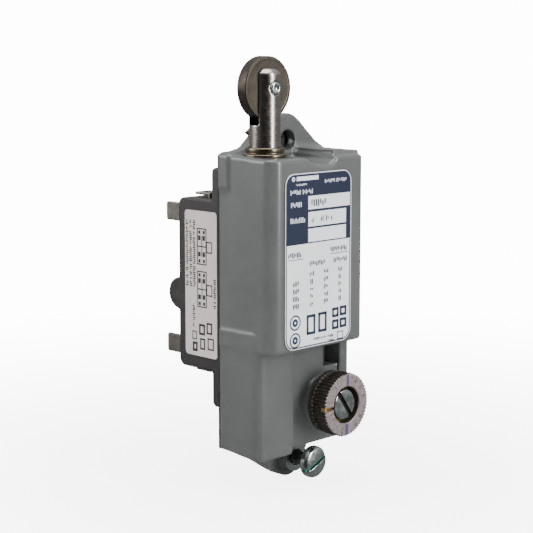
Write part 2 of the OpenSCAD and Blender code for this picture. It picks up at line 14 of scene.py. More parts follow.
import bmesh
import bpy
import numpy as np
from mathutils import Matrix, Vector


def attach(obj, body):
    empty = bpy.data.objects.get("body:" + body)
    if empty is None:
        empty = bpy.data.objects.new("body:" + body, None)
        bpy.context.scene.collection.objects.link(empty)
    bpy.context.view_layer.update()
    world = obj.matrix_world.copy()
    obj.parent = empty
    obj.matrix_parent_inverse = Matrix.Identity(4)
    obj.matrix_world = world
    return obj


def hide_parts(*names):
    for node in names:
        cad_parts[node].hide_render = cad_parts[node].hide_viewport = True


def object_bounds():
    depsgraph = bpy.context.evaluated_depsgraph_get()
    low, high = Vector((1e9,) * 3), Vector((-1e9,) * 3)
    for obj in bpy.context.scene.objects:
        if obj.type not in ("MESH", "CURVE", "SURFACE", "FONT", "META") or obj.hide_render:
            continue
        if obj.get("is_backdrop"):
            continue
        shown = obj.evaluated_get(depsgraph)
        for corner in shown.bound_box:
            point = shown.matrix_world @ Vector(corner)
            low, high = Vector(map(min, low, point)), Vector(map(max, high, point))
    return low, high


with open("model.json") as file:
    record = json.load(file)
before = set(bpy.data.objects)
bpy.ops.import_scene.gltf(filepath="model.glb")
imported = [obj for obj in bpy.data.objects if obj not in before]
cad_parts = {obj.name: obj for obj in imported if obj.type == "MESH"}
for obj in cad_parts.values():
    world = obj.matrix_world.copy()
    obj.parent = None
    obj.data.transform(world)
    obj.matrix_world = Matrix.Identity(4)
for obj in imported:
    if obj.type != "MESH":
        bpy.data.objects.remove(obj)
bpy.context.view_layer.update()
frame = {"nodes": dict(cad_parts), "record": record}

Array = np.ndarray
Colour = tuple[float, float, float]
Distance = Callable[[Array], Array]
Boxes = list[tuple[tuple, tuple]]
MM = 0.001
LOG = logging.getLogger("limit_switch")


# ---------------------------------------------------------------- distance fields


def smooth_min(a: Array, b: Array, k: float) -> Array:
    """Union of two fields with a fillet about k wide: the minimum, less a parabola where they are close.

    Args:
        a: First field.
        b: Second field.
        k: Width of the blend; zero gives a sharp union.

    Returns:
        The blended field.
    """
    if k <= 0:
        return np.minimum(a, b)
    near = np.maximum(k - np.abs(a - b), 0.0) / k
    return np.minimum(a, b) - near * near * k / 4


def carve(a: Array, b: Array, k: float = 0.0) -> Array:
    """Takes field b away from field a, with the new edge rounded over about k."""
    return -smooth_min(-a, b, k)


def meet(a: Array, b: Array, k: float = 0.0) -> Array:
    """Common part of two fields, with the new edge rounded over about k."""
    return -smooth_min(-a, -b, k)


def sd_box(p: Array, lo: Sequence[float], hi: Sequence[float], r: float = 0.0) -> Array:
    """Distance to a box with its edges rounded by r, from its corner-to-corner half sizes.

    Args:
        p: Points, with x, y and z on the last axis.
        lo: Lowest corner.
        hi: Highest corner.
        r: Edge radius.

    Returns:
        Signed distances, negative inside.
    """
    low, high = np.asarray(lo, float), np.asarray(hi, float)
    q = np.abs(p - (low + high) / 2) - ((high - low) / 2 - r)
    return np.linalg.norm(np.maximum(q, 0), axis=-1) + np.minimum(q.max(-1), 0) - r


def sd_slab(flat: Array, along: Array, lo: float, hi: float, r: float = 0.0) -> Array:
    """Distance to a flat outline carried from lo to hi: the rounded meet of the two distances.

    Args:
        flat: Distance to the outline in its own plane.
        along: Coordinate across that plane.
        lo: Start of the slab.
        hi: End of the slab.
        r: Radius of the edges where the outline meets its two faces.

    Returns:
        Signed distances, negative inside.
    """
    deep = np.abs(along - (lo + hi) / 2) - (hi - lo) / 2
    u, v = flat + r, deep + r
    outside = np.hypot(np.maximum(u, 0), np.maximum(v, 0))
    return np.minimum(np.maximum(u, v), 0) + outside - r


def sd_disc(p: Array, axis: int, centre: Sequence[float], radius: float) -> Array:
    """Distance in the plane across an axis to a circle about a centre given as a 3-D point."""
    others = [i for i in range(3) if i != axis]
    return np.hypot(p[..., others[0]] - centre[others[0]], p[..., others[1]] - centre[others[1]]) - radius


def sd_rect(u: Array, v: Array, lo: Sequence[float], hi: Sequence[float], r: float) -> Array:
    """Distance in a plane to a rectangle with round corners."""
    qu = np.abs(u - (lo[0] + hi[0]) / 2) - ((hi[0] - lo[0]) / 2 - r)
    qv = np.abs(v - (lo[1] + hi[1]) / 2) - ((hi[1] - lo[1]) / 2 - r)
    return np.hypot(np.maximum(qu, 0), np.maximum(qv, 0)) + np.minimum(np.maximum(qu, qv), 0) - r


def sd_polygon(u: Array, v: Array, corners: Sequence[Sequence[float]]) -> Array:
    """Distance in a plane to a closed outline: the nearest edge, signed by the count of crossings."""
    best = np.full(u.shape, np.inf)
    inside = np.zeros(u.shape, bool)
    pairs = zip(corners, list(corners[1:]) + [corners[0]])
    for (ax, ay), (bx, by) in pairs:
        ex, ey = bx - ax, by - ay
        wu, wv = u - ax, v - ay
        t = np.clip((wu * ex + wv * ey) / (ex * ex + ey * ey), 0, 1)
        best = np.minimum(best, np.hypot(wu - ex * t, wv - ey * t))
        crosses = (ay > v) != (by > v)
        inside ^= crosses & (u < ex * (v - ay) / (ey if ey else 1e-9) + ax)
    return np.where(inside, -best, best)


# ---------------------------------------------------------------- meshes


def new_object(
    name: str, points: Array, faces: Sequence[Sequence[int]] | Array, sharp: float
) -> bpy.types.Object:
    """Makes an object at the origin from points in millimetres.

    Args:
        name: Name of the piece.
        points: Vertices, n by 3.
        faces: Vertex numbers of each face.
        sharp: Angle in degrees past which an edge is shaded hard.

    Returns:
        The linked object.
    """
    mesh = bpy.data.meshes.new(name)
    listed = faces.tolist() if isinstance(faces, np.ndarray) else faces
    mesh.from_pydata((np.asarray(points) * MM).tolist(), [], listed)
    mesh.validate()
    mesh.polygons.foreach_set("use_smooth", np.ones(len(mesh.polygons), bool))
    mesh.set_sharp_from_angle(angle=math.radians(sharp))
    obj = bpy.data.objects.new(name, mesh)
    bpy.context.scene.collection.objects.link(obj)
    return obj


def surface_net(
    field_at: Distance, lo: Sequence[float], hi: Sequence[float], cell: float
) -> tuple[Array, Array]:
    """Closed quad mesh of a field's zero level, one point in each grid cell that the level crosses.

    Each point starts at the mean of the crossings on its cell's edges, and is then moved along the
    field's gradient onto the level, so flats come out flat and fillets come out round.

    Args:
        field_at: The distance field.
        lo: Lowest corner of the grid.
        hi: Highest corner of the grid.
        cell: Size of a grid cell.

    Returns:
        Points in millimetres and the quads between them.
    """
    low = np.asarray(lo, float) - 1.37 * cell
    counts = np.ceil((np.asarray(hi, float) - low) / cell).astype(int) + 2
    axes = [low[i] + cell * np.arange(counts[i]) for i in range(3)]
    grid = np.stack(np.meshgrid(*axes, indexing="ij"), -1)
    value = np.concatenate([field_at(part) for part in np.array_split(grid, 8)])
    inside = value < 0
    total = np.zeros(tuple(counts - 1) + (3,))
    hits = np.zeros(tuple(counts - 1))
    crossings = []
    for axis in range(3):
        first = [slice(None)] * 3
        second = [slice(None)] * 3
        first[axis], second[axis] = slice(0, -1), slice(1, None)
        a, b = value[tuple(first)], value[tuple(second)]
        cut = inside[tuple(first)] != inside[tuple(second)]
        where = np.argwhere(cut)
        share = (a / np.where(a == b, 1, a - b))[cut]
        place = where.astype(float)
        place[:, axis] += share
        others = [i for i in range(3) if i != axis]
        for du in (0, 1):
            for dv in (0, 1):
                at = where.copy()
                at[:, others[0]] -= du
                at[:, others[1]] -= dv
                fits = ((at >= 0) & (at < counts - 1)).all(1)
                index = tuple(at[fits].T)
                np.add.at(total, index, place[fits])
                np.add.at(hits, index, 1.0)
        crossings.append((axis, where, inside[tuple(first)][cut]))
    used = hits > 0
    number = np.full(hits.shape, -1)
    number[used] = np.arange(int(used.sum()))
    points = low + cell * total[used] / hits[used][:, None]
    quads = []
    for axis, where, starts_inside in crossings:
        u, v = (axis + 1) % 3, (axis + 2) % 3
        step_u, step_v = np.eye(3, dtype=int)[u], np.eye(3, dtype=int)[v]
        ring = [where - step_u - step_v, where - step_v, where, where - step_u]
        quad = np.stack([number[tuple(corner.T)] for corner in ring], 1)
        quads.append(np.where(starts_inside[:, None], quad, quad[:, ::-1]))
    for _ in range(3):
        slope, here = gradient(field_at, points, cell * 0.05)
        step = here[:, None] * slope / np.maximum((slope**2).sum(1), 0.25)[:, None]
        points = points - np.clip(step, -cell / 2, cell / 2)
    return points, np.concatenate(quads)


def gradient(field_at: Distance, points: Array, step: float) -> tuple[Array, Array]:
    """Slope of a field by central differences, and the field itself, at a list of points."""
    shifts = np.eye(3) * step
    slope = np.stack([field_at(points + s) - field_at(points - s) for s in shifts], 1) / (2 * step)
    return slope, field_at(points)


def skin(
    name: str, field_at: Distance, lo: Sequence[float], hi: Sequence[float], cell: float, sharp: float = 40
) -> bpy.types.Object:
    """Object whose surface is the zero level of a distance field."""
    points, quads = surface_net(field_at, lo, hi, cell)
    return new_object(name, points, quads, sharp)


def rounded(profile: Sequence[Sequence[float]], radius: float, steps: int = 4, closed: bool = True) -> Array:
    """Rounds a profile's corners: each corner becomes a short quadratic curve between points radius away.

    Args:
        profile: Corner points in a plane.
        radius: How far from the corner each curve starts, at most 0.45 of the shorter side.
        steps: Pieces in each curve.
        closed: Whether the last corner joins the first.

    Returns:
        The rounded outline's points.
    """
    corner = np.asarray(profile, float)
    before, after = np.roll(corner, 1, 0), np.roll(corner, -1, 0)
    to_before, to_after = before - corner, after - corner
    reach_b = np.linalg.norm(to_before, axis=1, keepdims=True)
    reach_a = np.linalg.norm(to_after, axis=1, keepdims=True)
    cut = np.minimum(radius, 0.45 * np.minimum(reach_a, reach_b))
    start, end = corner + to_before / reach_b * cut, corner + to_after / reach_a * cut
    t = np.linspace(0, 1, steps + 1)[None, :, None]
    curve = (1 - t) ** 2 * start[:, None] + 2 * t * (1 - t) * corner[:, None] + t**2 * end[:, None]
    if closed:
        return curve.reshape(-1, 2)
    return np.concatenate([corner[:1], curve[1:-1].reshape(-1, 2), corner[-1:]])


def ring_faces(rows: int, columns: int, wrap_rows: bool, wrap_columns: bool) -> Array:
    """Quads of a grid of points numbered row by row, joined round either way where asked."""
    i = np.arange(rows if wrap_rows else rows - 1)[:, None]
    j = np.arange(columns if wrap_columns else columns - 1)[None, :]
    i2, j2 = (i + 1) % rows, (j + 1) % columns
    corners = [i * columns + j, i2 * columns + j, i2 * columns + j2, i * columns + j2]
    return np.stack(corners, -1).reshape(-1, 4)


def weld(obj: bpy.types.Object, sharp: float) -> bpy.types.Object:
    """Merges a mesh's doubled points, turns its faces outwards and sets its shading again."""
    bm = bmesh.new()
    bm.from_mesh(obj.data)
    bmesh.ops.remove_doubles(bm, verts=bm.verts, dist=1e-7)
    bmesh.ops.recalc_face_normals(bm, faces=bm.faces)
    bm.to_mesh(obj.data)
    bm.free()
    obj.data.polygons.foreach_set("use_smooth", np.ones(len(obj.data.polygons), bool))
    obj.data.set_sharp_from_angle(angle=math.radians(sharp))
    return obj


@dataclass(frozen=True)
class Axis:
    """A line along one of the frame's axes, with the point it starts from."""

    origin: tuple[float, float, float]
    along: int

    def place(self, radius: Array, height: Array, angle: Array) -> Array:
        """Points at a radius and angle round the axis and a height along it."""
        side = [i for i in range(3) if i != self.along]
        out = np.zeros(np.broadcast(radius, height, angle).shape + (3,))
        out[..., side[0]] = self.origin[side[0]] + radius * np.cos(angle)
        out[..., side[1]] = self.origin[side[1]] + radius * np.sin(angle)
        out[..., self.along] = self.origin[self.along] + height
        return out


def lathe(
    name: str,
    axis: Axis,
    profile: Array,
    segments: int = 96,
    ripple: Callable[[Array, Array, Array], Array] | None = None,
    closed: bool = True,
    sharp: float = 35,
    span: tuple[float, float] = (0.0, 2 * math.pi),
) -> bpy.types.Object:
    """A profile of radius and height turned round an axis.

    Args:
        name: Name of the piece.
        axis: The line it turns about.
        profile: Radius and height pairs; an open profile starts and ends on the axis.
        segments: Steps round the axis.
        ripple: Optional change of radius, from radius, height and angle, for knurls and teeth.
        closed: Whether the profile is a closed loop, as in a ring.
        sharp: Angle past which an edge is shaded hard.
        span: First and last angle; less than a full turn leaves a gap with flat ends.

    Returns:
        The turned piece.
    """
    full = span[1] - span[0] > 2 * math.pi - 1e-6
    angle = np.linspace(span[0], span[1], segments + (0 if full else 1), endpoint=not full)
    radius, height = profile[:, 0][None, :], profile[:, 1][None, :]
    turn = angle[:, None]
    if ripple is not None:
        radius = radius + ripple(radius, height, turn)
    points = axis.place(radius, height, turn)
    faces = ring_faces(points.shape[0], points.shape[1], full, closed).tolist()
    if not full:
        count = points.shape[1]
        last = (points.shape[0] - 1) * count
        faces.append(list(range(count)))
        faces.append(list(range(last + count - 1, last - 1, -1)))
    return weld(new_object(name, points.reshape(-1, 3), faces, sharp), sharp)


def plates(
    name: str, boxes: Iterable[tuple[Sequence[float], Sequence[float]]], sharp: float = 30
) -> bpy.types.Object:
    """Many small boxes in one mesh, each from its lowest to its highest corner."""
    pairs = np.array(list(boxes), float)
    pick = np.array([[0, 0, 0], [1, 0, 0], [1, 1, 0], [0, 1, 0], [0, 0, 1], [1, 0, 1], [1, 1, 1], [0, 1, 1]])
    points = np.where(pick[None] == 0, pairs[:, None, 0], pairs[:, None, 1])
    sides = np.array([[0, 3, 2, 1], [4, 5, 6, 7], [0, 1, 5, 4], [1, 2, 6, 5], [2, 3, 7, 6], [3, 0, 4, 7]])
    faces = sides[None] + 8 * np.arange(len(pairs))[:, None, None]
    return new_object(name, points.reshape(-1, 3), faces.reshape(-1, 4), sharp)


def slab(
    name: str, outline: Array, plane: tuple[int, int], lo: float, hi: float, bevel: float, sharp: float = 40
) -> bpy.types.Object:
    """A flat outline carried from lo to hi, with a small chamfer round both faces.

    Args:
        name: Name of the piece.
        outline: Points of a convex outline in the plane's two axes.
        plane: The two axes of the outline, by number.
        lo: Where the slab starts on the third axis.
        hi: Where it ends.
        bevel: Size of the chamfer.
        sharp: Angle past which an edge is shaded hard.

    Returns:
        The slab.
    """
    third = 3 - plane[0] - plane[1]
    centre = outline.mean(0)
    reach = np.linalg.norm(outline - centre, axis=1, keepdims=True)
    small = centre + (outline - centre) * (1 - bevel / reach)
    levels = [(small, lo), (outline, lo + bevel), (outline, hi - bevel), (small, hi)]
    points = np.zeros((4, len(outline), 3))
    for row, (flat, level) in enumerate(levels):
        points[row, :, plane[0]], points[row, :, plane[1]] = flat[:, 0], flat[:, 1]
        points[row, :, third] = level
    count = len(outline)
    faces = ring_faces(4, count, False, True).tolist()
    faces += [list(range(count)), list(range(4 * count - 1, 3 * count - 1, -1))]
    return weld(new_object(name, points.reshape(-1, 3), faces, sharp), sharp)


def corner_rect(lo: Sequence[float], hi: Sequence[float], r: float, steps: int = 8) -> Array:
    """Outline of a rectangle whose corners are quarter circles."""
    turn = np.linspace(0, math.pi / 2, steps + 1)
    centres = [(hi[0] - r, hi[1] - r), (lo[0] + r, hi[1] - r), (lo[0] + r, lo[1] + r), (hi[0] - r, lo[1] + r)]
    arcs = [
        np.stack([cx + r * np.cos(turn + k * math.pi / 2), cy + r * np.sin(turn + k * math.pi / 2)], 1)
        for k, (cx, cy) in enumerate(centres)
    ]
    return np.concatenate(arcs)


def join(name: str, parts: Sequence[bpy.types.Object]) -> bpy.types.Object:
    """Puts several meshes into the first one's object."""
    bpy.ops.object.select_all(action="DESELECT")
    for part in parts:
        part.select_set(True)
    bpy.context.view_layer.objects.active = parts[0]
    bpy.ops.object.join()
    parts[0].name = name
    parts[0].data.name = name
    return parts[0]


# ---------------------------------------------------------------- finishes


class Grain(Enum):
    """What a finish's fine relief looks like."""

    PEEL = "orange peel of a thick enamel"
    SAND = "fine sand of a moulded or cast face"
    BRUSH = "long scratches along one axis"


STRETCH = {Grain.PEEL: 1.0, Grain.SAND: 1.0, Grain.BRUSH: 0.04}


def tone_group() -> bpy.types.NodeTree:
    """Node group that mixes two tones by soft noise and lays dust where a face looks up."""
    group = bpy.data.node_groups.new("worn_tone", "ShaderNodeTree")
    face = group.interface
    for label, kind in (
        ("Vector", "NodeSocketVector"),
        ("Light", "NodeSocketColor"),
        ("Dark", "NodeSocketColor"),
        ("Scale", "NodeSocketFloat"),
        ("Dust", "NodeSocketFloat"),
    ):
        face.new_socket(name=label, in_out="INPUT", socket_type=kind)
    face.new_socket(name="Colour", in_out="OUTPUT", socket_type="NodeSocketColor")
    face.new_socket(name="Mask", in_out="OUTPUT", socket_type="NodeSocketFloat")
    nodes, links = group.nodes, group.links
    start, end = nodes.new("NodeGroupInput"), nodes.new("NodeGroupOutput")
    cloud = nodes.new("ShaderNodeTexNoise")
    cloud.inputs["Detail"].default_value = 5
    cloud.inputs["Roughness"].default_value = 0.6
    shape = nodes.new("ShaderNodeMapRange")
    shape.inputs["From Min"].default_value = 0.32
    shape.inputs["From Max"].default_value = 0.68
    mix = nodes.new("ShaderNodeMix")
    mix.data_type = "RGBA"
    facing = nodes.new("ShaderNodeNewGeometry")
    split = nodes.new("ShaderNodeSeparateXYZ")
    up = nodes.new("ShaderNodeMapRange")
    up.inputs["From Min"].default_value = 0.35
    up.inputs["From Max"].default_value = 1.0
    amount = nodes.new("ShaderNodeMath")
    amount.operation = "MULTIPLY"
    patch = nodes.new("ShaderNodeMath")
    patch.operation = "MULTIPLY"
    dusty = nodes.new("ShaderNodeMix")
    dusty.data_type = "RGBA"
    dusty.inputs["B"].default_value = (0.42, 0.40, 0.36, 1)
    links.new(start.outputs["Vector"], cloud.inputs["Vector"])
    links.new(start.outputs["Scale"], cloud.inputs["Scale"])
    links.new(cloud.outputs["Fac"], shape.inputs["Value"])
    links.new(shape.outputs["Result"], mix.inputs["Factor"])
    links.new(start.outputs["Dark"], mix.inputs["A"])
    links.new(start.outputs["Light"], mix.inputs["B"])
    links.new(facing.outputs["Normal"], split.inputs["Vector"])
    links.new(split.outputs["Z"], up.inputs["Value"])
    links.new(up.outputs["Result"], amount.inputs[0])
    links.new(start.outputs["Dust"], amount.inputs[1])
    links.new(amount.outputs["Value"], patch.inputs[0])
    links.new(shape.outputs["Result"], patch.inputs[1])
    links.new(patch.outputs["Value"], dusty.inputs["Factor"])
    links.new(mix.outputs["Result"], dusty.inputs["A"])
    links.new(dusty.outputs["Result"], end.inputs["Colour"])
    links.new(shape.outputs["Result"], end.inputs["Mask"])
    return group


def grain_group() -> bpy.types.NodeTree:
    """Node group for fine relief and uneven gloss: two octaves of noise, one coarse and one fine."""
    group = bpy.data.node_groups.new("fine_grain", "ShaderNodeTree")
    face = group.interface
    for label, kind in (
        ("Vector", "NodeSocketVector"),
        ("Scale", "NodeSocketFloat"),
        ("Smoothest", "NodeSocketFloat"),
        ("Roughest", "NodeSocketFloat"),
    ):
        face.new_socket(name=label, in_out="INPUT", socket_type=kind)
    face.new_socket(name="Height", in_out="OUTPUT", socket_type="NodeSocketFloat")
    face.new_socket(name="Roughness", in_out="OUTPUT", socket_type="NodeSocketFloat")
    nodes, links = group.nodes, group.links
    start, end = nodes.new("NodeGroupInput"), nodes.new("NodeGroupOutput")
    fine, coarse = nodes.new("ShaderNodeTexNoise"), nodes.new("ShaderNodeTexNoise")
    fine.inputs["Detail"].default_value = 3
    coarse.inputs["Detail"].default_value = 2
    slower = nodes.new("ShaderNodeMath")
    slower.operation = "MULTIPLY"
    slower.inputs[1].default_value = 0.18
    total = nodes.new("ShaderNodeMath")
    total.operation = "ADD"
    gloss = nodes.new("ShaderNodeMapRange")
    gloss.inputs["From Min"].default_value = 0.3
    gloss.inputs["From Max"].default_value = 0.7
    links.new(start.outputs["Vector"], fine.inputs["Vector"])
    links.new(start.outputs["Vector"], coarse.inputs["Vector"])
    links.new(start.outputs["Scale"], fine.inputs["Scale"])
    links.new(start.outputs["Scale"], slower.inputs[0])
    links.new(slower.outputs["Value"], coarse.inputs["Scale"])
    links.new(fine.outputs["Fac"], total.inputs[0])
    links.new(coarse.outputs["Fac"], total.inputs[1])
    links.new(coarse.outputs["Fac"], gloss.inputs["Value"])
    links.new(start.outputs["Smoothest"], gloss.inputs["To Min"])
    links.new(start.outputs["Roughest"], gloss.inputs["To Max"])
    links.new(total.outputs["Value"], end.inputs["Height"])
    links.new(gloss.outputs["Result"], end.inputs["Roughness"])
    return group


@dataclass(frozen=True)
class Finish:
    """One surface finish, made into a material the first time it is used.

    Scales count noise cells in a metre. Gloss is the smoothest and the roughest value on the surface.
    """

    name: str
    slot: str
    light: Colour
    dark: Colour
    metallic: float
    gloss: tuple[float, float]
    tone_scale: float = 60
    grain: Grain = Grain.SAND
    grain_scale: float = 2500
    relief: float = 0.15
    depth: float = 0.00004
    along: int = 2
    coat: float = 0.0
    coat_gloss: float = 0.1
    dust: float = 0.0

    def material(self) -> bpy.types.Material:
        """The finish as a material, built once."""
        known = bpy.data.materials.get(self.name)
        if known is not None:
            return known
        made = bpy.data.materials.new(self.name)
        made.use_nodes = True
        made.diffuse_color = (*self.light, 1)
        nodes, links = made.node_tree.nodes, made.node_tree.links
        shader = nodes["Principled BSDF"]
        place = nodes.new("ShaderNodeTexCoord")
        turned = nodes.new("ShaderNodeMapping")
        turned.inputs["Scale"].default_value[self.along] = STRETCH[self.grain]
        tone, grain = nodes.new("ShaderNodeGroup"), nodes.new("ShaderNodeGroup")
        tone.node_tree = bpy.data.node_groups.get("worn_tone") or tone_group()
        grain.node_tree = bpy.data.node_groups.get("fine_grain") or grain_group()
        bump = nodes.new("ShaderNodeBump")
        tone.inputs["Light"].default_value = (*self.light, 1)
        tone.inputs["Dark"].default_value = (*self.dark, 1)
        tone.inputs["Scale"].default_value = self.tone_scale
        tone.inputs["Dust"].default_value = self.dust
        grain.inputs["Scale"].default_value = self.grain_scale
        grain.inputs["Smoothest"].default_value = self.gloss[0]
        grain.inputs["Roughest"].default_value = self.gloss[1]
        bump.inputs["Strength"].default_value = self.relief
        bump.inputs["Distance"].default_value = self.depth
        shader.inputs["Metallic"].default_value = self.metallic
        shader.inputs["Coat Weight"].default_value = self.coat
        shader.inputs["Coat Roughness"].default_value = self.coat_gloss
        links.new(place.outputs["Object"], turned.inputs["Vector"])
        links.new(turned.outputs["Vector"], grain.inputs["Vector"])
        links.new(place.outputs["Object"], tone.inputs["Vector"])
        links.new(tone.outputs["Colour"], shader.inputs["Base Color"])
        links.new(grain.outputs["Roughness"], shader.inputs["Roughness"])
        links.new(grain.outputs["Height"], bump.inputs["Height"])
        links.new(bump.outputs["Normal"], shader.inputs["Normal"])
        return made


ENAMEL = Finish(
    "grey_enamel", "cast_paint", (0.094, 0.100, 0.097), (0.080, 0.086, 0.083), 0.0, (0.30, 0.44),
    tone_scale=34, grain=Grain.PEEL, grain_scale=420, relief=0.24, depth=0.00012, coat=0.45,
    coat_gloss=0.16, dust=0.04,
)
RUBBER = Finish(
    "black_rubber", "gasket_rubber", (0.016, 0.016, 0.016), (0.008, 0.008, 0.008), 0.0, (0.6, 0.8),
)
PLATE = Finish(
    "plate_white", "label_plate", (0.78, 0.79, 0.81), (0.73, 0.745, 0.77), 0.0, (0.42, 0.52),
    depth=0.00001,
)
PLATE_EDGE = Finish("plate_edge", "label_plate", (0.62, 0.63, 0.64), (0.55, 0.56, 0.57), 1.0, (0.30, 0.42))
BLUE = Finish(
    "print_blue", "label_plate", (0.0035, 0.0095, 0.036), (0.003, 0.008, 0.030), 0.0, (0.45, 0.55),
    depth=0.00001,
)
INK = Finish("print_black", "label_plate", (0.014, 0.015, 0.020), (0.010, 0.011, 0.015), 0.0, (0.45, 0.60))
BLUE_INK = Finish(
    "print_navy", "label_plate", (0.012, 0.022, 0.060), (0.010, 0.018, 0.048), 0.0, (0.45, 0.60),
)
SOFT_INK = Finish("print_white", "label_plate", (0.62, 0.65, 0.72), (0.50, 0.54, 0.62), 0.0, (0.45, 0.55))
BRONZE = Finish(
    "oiled_bronze", "bronze", (0.235, 0.200, 0.140), (0.120, 0.104, 0.076), 1.0, (0.24, 0.42),
    tone_scale=220,
)
STAINLESS = Finish(
    "ground_stainless", "stainless", (0.42, 0.385, 0.36), (0.32, 0.29, 0.27), 1.0, (0.20, 0.30),
    tone_scale=90, grain=Grain.SAND, grain_scale=3000, relief=0.08,
)
# Painted shade: near-black colour for the inside of slots, where shade falls.
SLOT_SHADE = Finish("slot_painted_shade", "stainless", (0.012, 0.011, 0.010), (0.006, 0.006, 0.006), 0.3, (0.5, 0.7))
ROLLER_STEEL = Finish(
    "browned_steel", "roller_steel", (0.105, 0.090, 0.072), (0.066, 0.056, 0.045), 0.8, (0.40, 0.58),
    tone_scale=160, grain_scale=2200, relief=0.25,
)
# Painted shade: a darker copy of the roller's steel for its shaded rim.
ROLLER_RIM_SHADE = Finish(
    "roller_rim_painted_shade", "roller_steel", (0.062, 0.050, 0.042), (0.036, 0.030, 0.026), 0.8, (0.34, 0.50),
    tone_scale=160,
)
ZINC = Finish(
    "bright_zinc", "zinc_plate", (0.62, 0.66, 0.64), (0.44, 0.50, 0.49), 1.0, (0.16, 0.36), tone_scale=320,
    grain_scale=1800, relief=0.12,
)
# Green chromate tint with painted shade: a darkened colour for a screw slot's floor and walls.
ZINC_GREEN_SLOT_SHADE = Finish(
    "green_chromate_slot_shade", "zinc_plate", (0.055, 0.17, 0.125), (0.03, 0.10, 0.075), 0.6, (0.30, 0.45),
)
ZINC_OLIVE = Finish(
    "olive_chromate", "zinc_plate", (0.26, 0.25, 0.055), (0.13, 0.125, 0.035), 0.6, (0.30, 0.45),
)
# Painted shade: darkened zinc for the screw's shank and thread.
THREAD_SHADE = Finish(
    "thread_painted_shade", "zinc_plate", (0.17, 0.19, 0.18), (0.06, 0.07, 0.065), 0.9, (0.25, 0.4),
    tone_scale=400,
)
# Painted shade: near-black colour for a screw slot's floor and walls.
SCREW_SLOT_SHADE = Finish(
    "screw_slot_painted_shade", "zinc_plate", (0.050, 0.052, 0.048), (0.025, 0.026, 0.024), 0.7, (0.35, 0.5),
)
DIE_CAST = Finish(
    "tarnished_casting", "die_cast_zinc", (0.47, 0.385, 0.385), (0.31, 0.25, 0.26), 0.7, (0.34, 0.52),
    tone_scale=900, grain_scale=3200, relief=0.35,
)
# Painted shade: a dark copy of the dial's casting for its sides, its bore and the index ring's side and back.
DIAL_SHADE = Finish(
    "dial_painted_shade", "die_cast_zinc", (0.070, 0.064, 0.050), (0.034, 0.032, 0.026), 0.6, (0.35, 0.55),
    tone_scale=500,
)
# Painted shade: dark colour that stands in for the shade showing the dial's numbers and ticks.
MARK_SHADE = Finish(
    "dial_engraving_painted_shade", "die_cast_zinc", (0.13, 0.095, 0.115), (0.05, 0.04, 0.05), 0.2, (0.5, 0.7),
    tone_scale=1400,
)
MARK_VIOLET = Finish(
    "dial_index_line", "die_cast_zinc", (0.085, 0.06, 0.16), (0.06, 0.045, 0.11), 0.2, (0.4, 0.6),
)
MARK_GOLD = Finish(
    "dial_index_edge", "die_cast_zinc", (0.42, 0.31, 0.13), (0.30, 0.22, 0.10), 0.5, (0.4, 0.6),
)
BRASS = Finish(
    "bright_brass", "brass", (0.70, 0.47, 0.22), (0.50, 0.32, 0.15), 1.0, (0.22, 0.36), tone_scale=300,
)
STEEL = Finish("spring_steel", "hard_steel", (0.42, 0.41, 0.39), (0.32, 0.31, 0.30), 1.0, (0.22, 0.38))
NYLON = Finish("natural_nylon", "nylon", (0.62, 0.58, 0.50), (0.56, 0.52, 0.44), 0.0, (0.4, 0.5))
PHENOLIC = Finish(
    "black_phenolic", "phenolic", (0.030, 0.026, 0.026), (0.019, 0.017, 0.017), 0.0, (0.34, 0.50),
    tone_scale=140, grain_scale=2600, relief=0.3,
)
SIDE_PAPER = Finish(
    "side_label_paper", "side_label", (0.56, 0.515, 0.49), (0.50, 0.46, 0.44), 0.0, (0.45, 0.6),
)
SIDE_INK = Finish(
    "side_label_ink", "side_label", (0.014, 0.013, 0.014), (0.022, 0.020, 0.022), 0.0, (0.5, 0.6),
)
COPPER = Finish("rolled_copper", "copper_alloy", (0.55, 0.30, 0.16), (0.42, 0.22, 0.11), 1.0, (0.2, 0.35))
SILVER = Finish("fine_silver", "silver", (0.80, 0.79, 0.76), (0.70, 0.69, 0.66), 1.0, (0.15, 0.25))
TERMINAL = Finish(
    "dull_terminal", "terminal_plate", (0.24, 0.225, 0.20), (0.16, 0.15, 0.135), 0.9, (0.32, 0.5),
    tone_scale=260,
)

BY_SLOT = {
    "cast_paint": ENAMEL, "gasket_rubber": RUBBER, "label_plate": PLATE, "bronze": BRONZE,
    "hard_steel": STEEL,
    "stainless": STAINLESS, "roller_steel": ROLLER_STEEL, "zinc_plate": ZINC, "die_cast_zinc": DIE_CAST,
    "brass": BRASS, "nylon": NYLON, "phenolic": PHENOLIC, "side_label": SIDE_PAPER, "copper_alloy": COPPER,
    "silver": SILVER, "terminal_plate": TERMINAL,
}


def dress(obj: bpy.types.Object, finish: Finish) -> bpy.types.Object:
    """Gives a whole piece one finish."""
    obj.data.materials.clear()
    obj.data.materials.append(finish.material())
    return obj


def dress_second(obj: bpy.types.Object, finish: Finish, chosen: Array) -> None:
    """Adds a second finish to the faces marked in chosen."""
    obj.data.materials.append(finish.material())
    index = np.where(chosen, len(obj.data.materials) - 1, 0).astype(np.int32)
    old = np.zeros(len(index), np.int32)
    obj.data.polygons.foreach_get("material_index", old)
    obj.data.polygons.foreach_set("material_index", np.where(chosen, index, old))


def face_data(obj: bpy.types.Object) -> tuple[Array, Array]:
    """Centres in millimetres and normals of a mesh's faces."""
    count = len(obj.data.polygons)
    centre, normal = np.zeros(count * 3), np.zeros(count * 3)
    obj.data.polygons.foreach_get("center", centre)
    obj.data.polygons.foreach_get("normal", normal)
    return centre.reshape(-1, 3) / MM, normal.reshape(-1, 3)


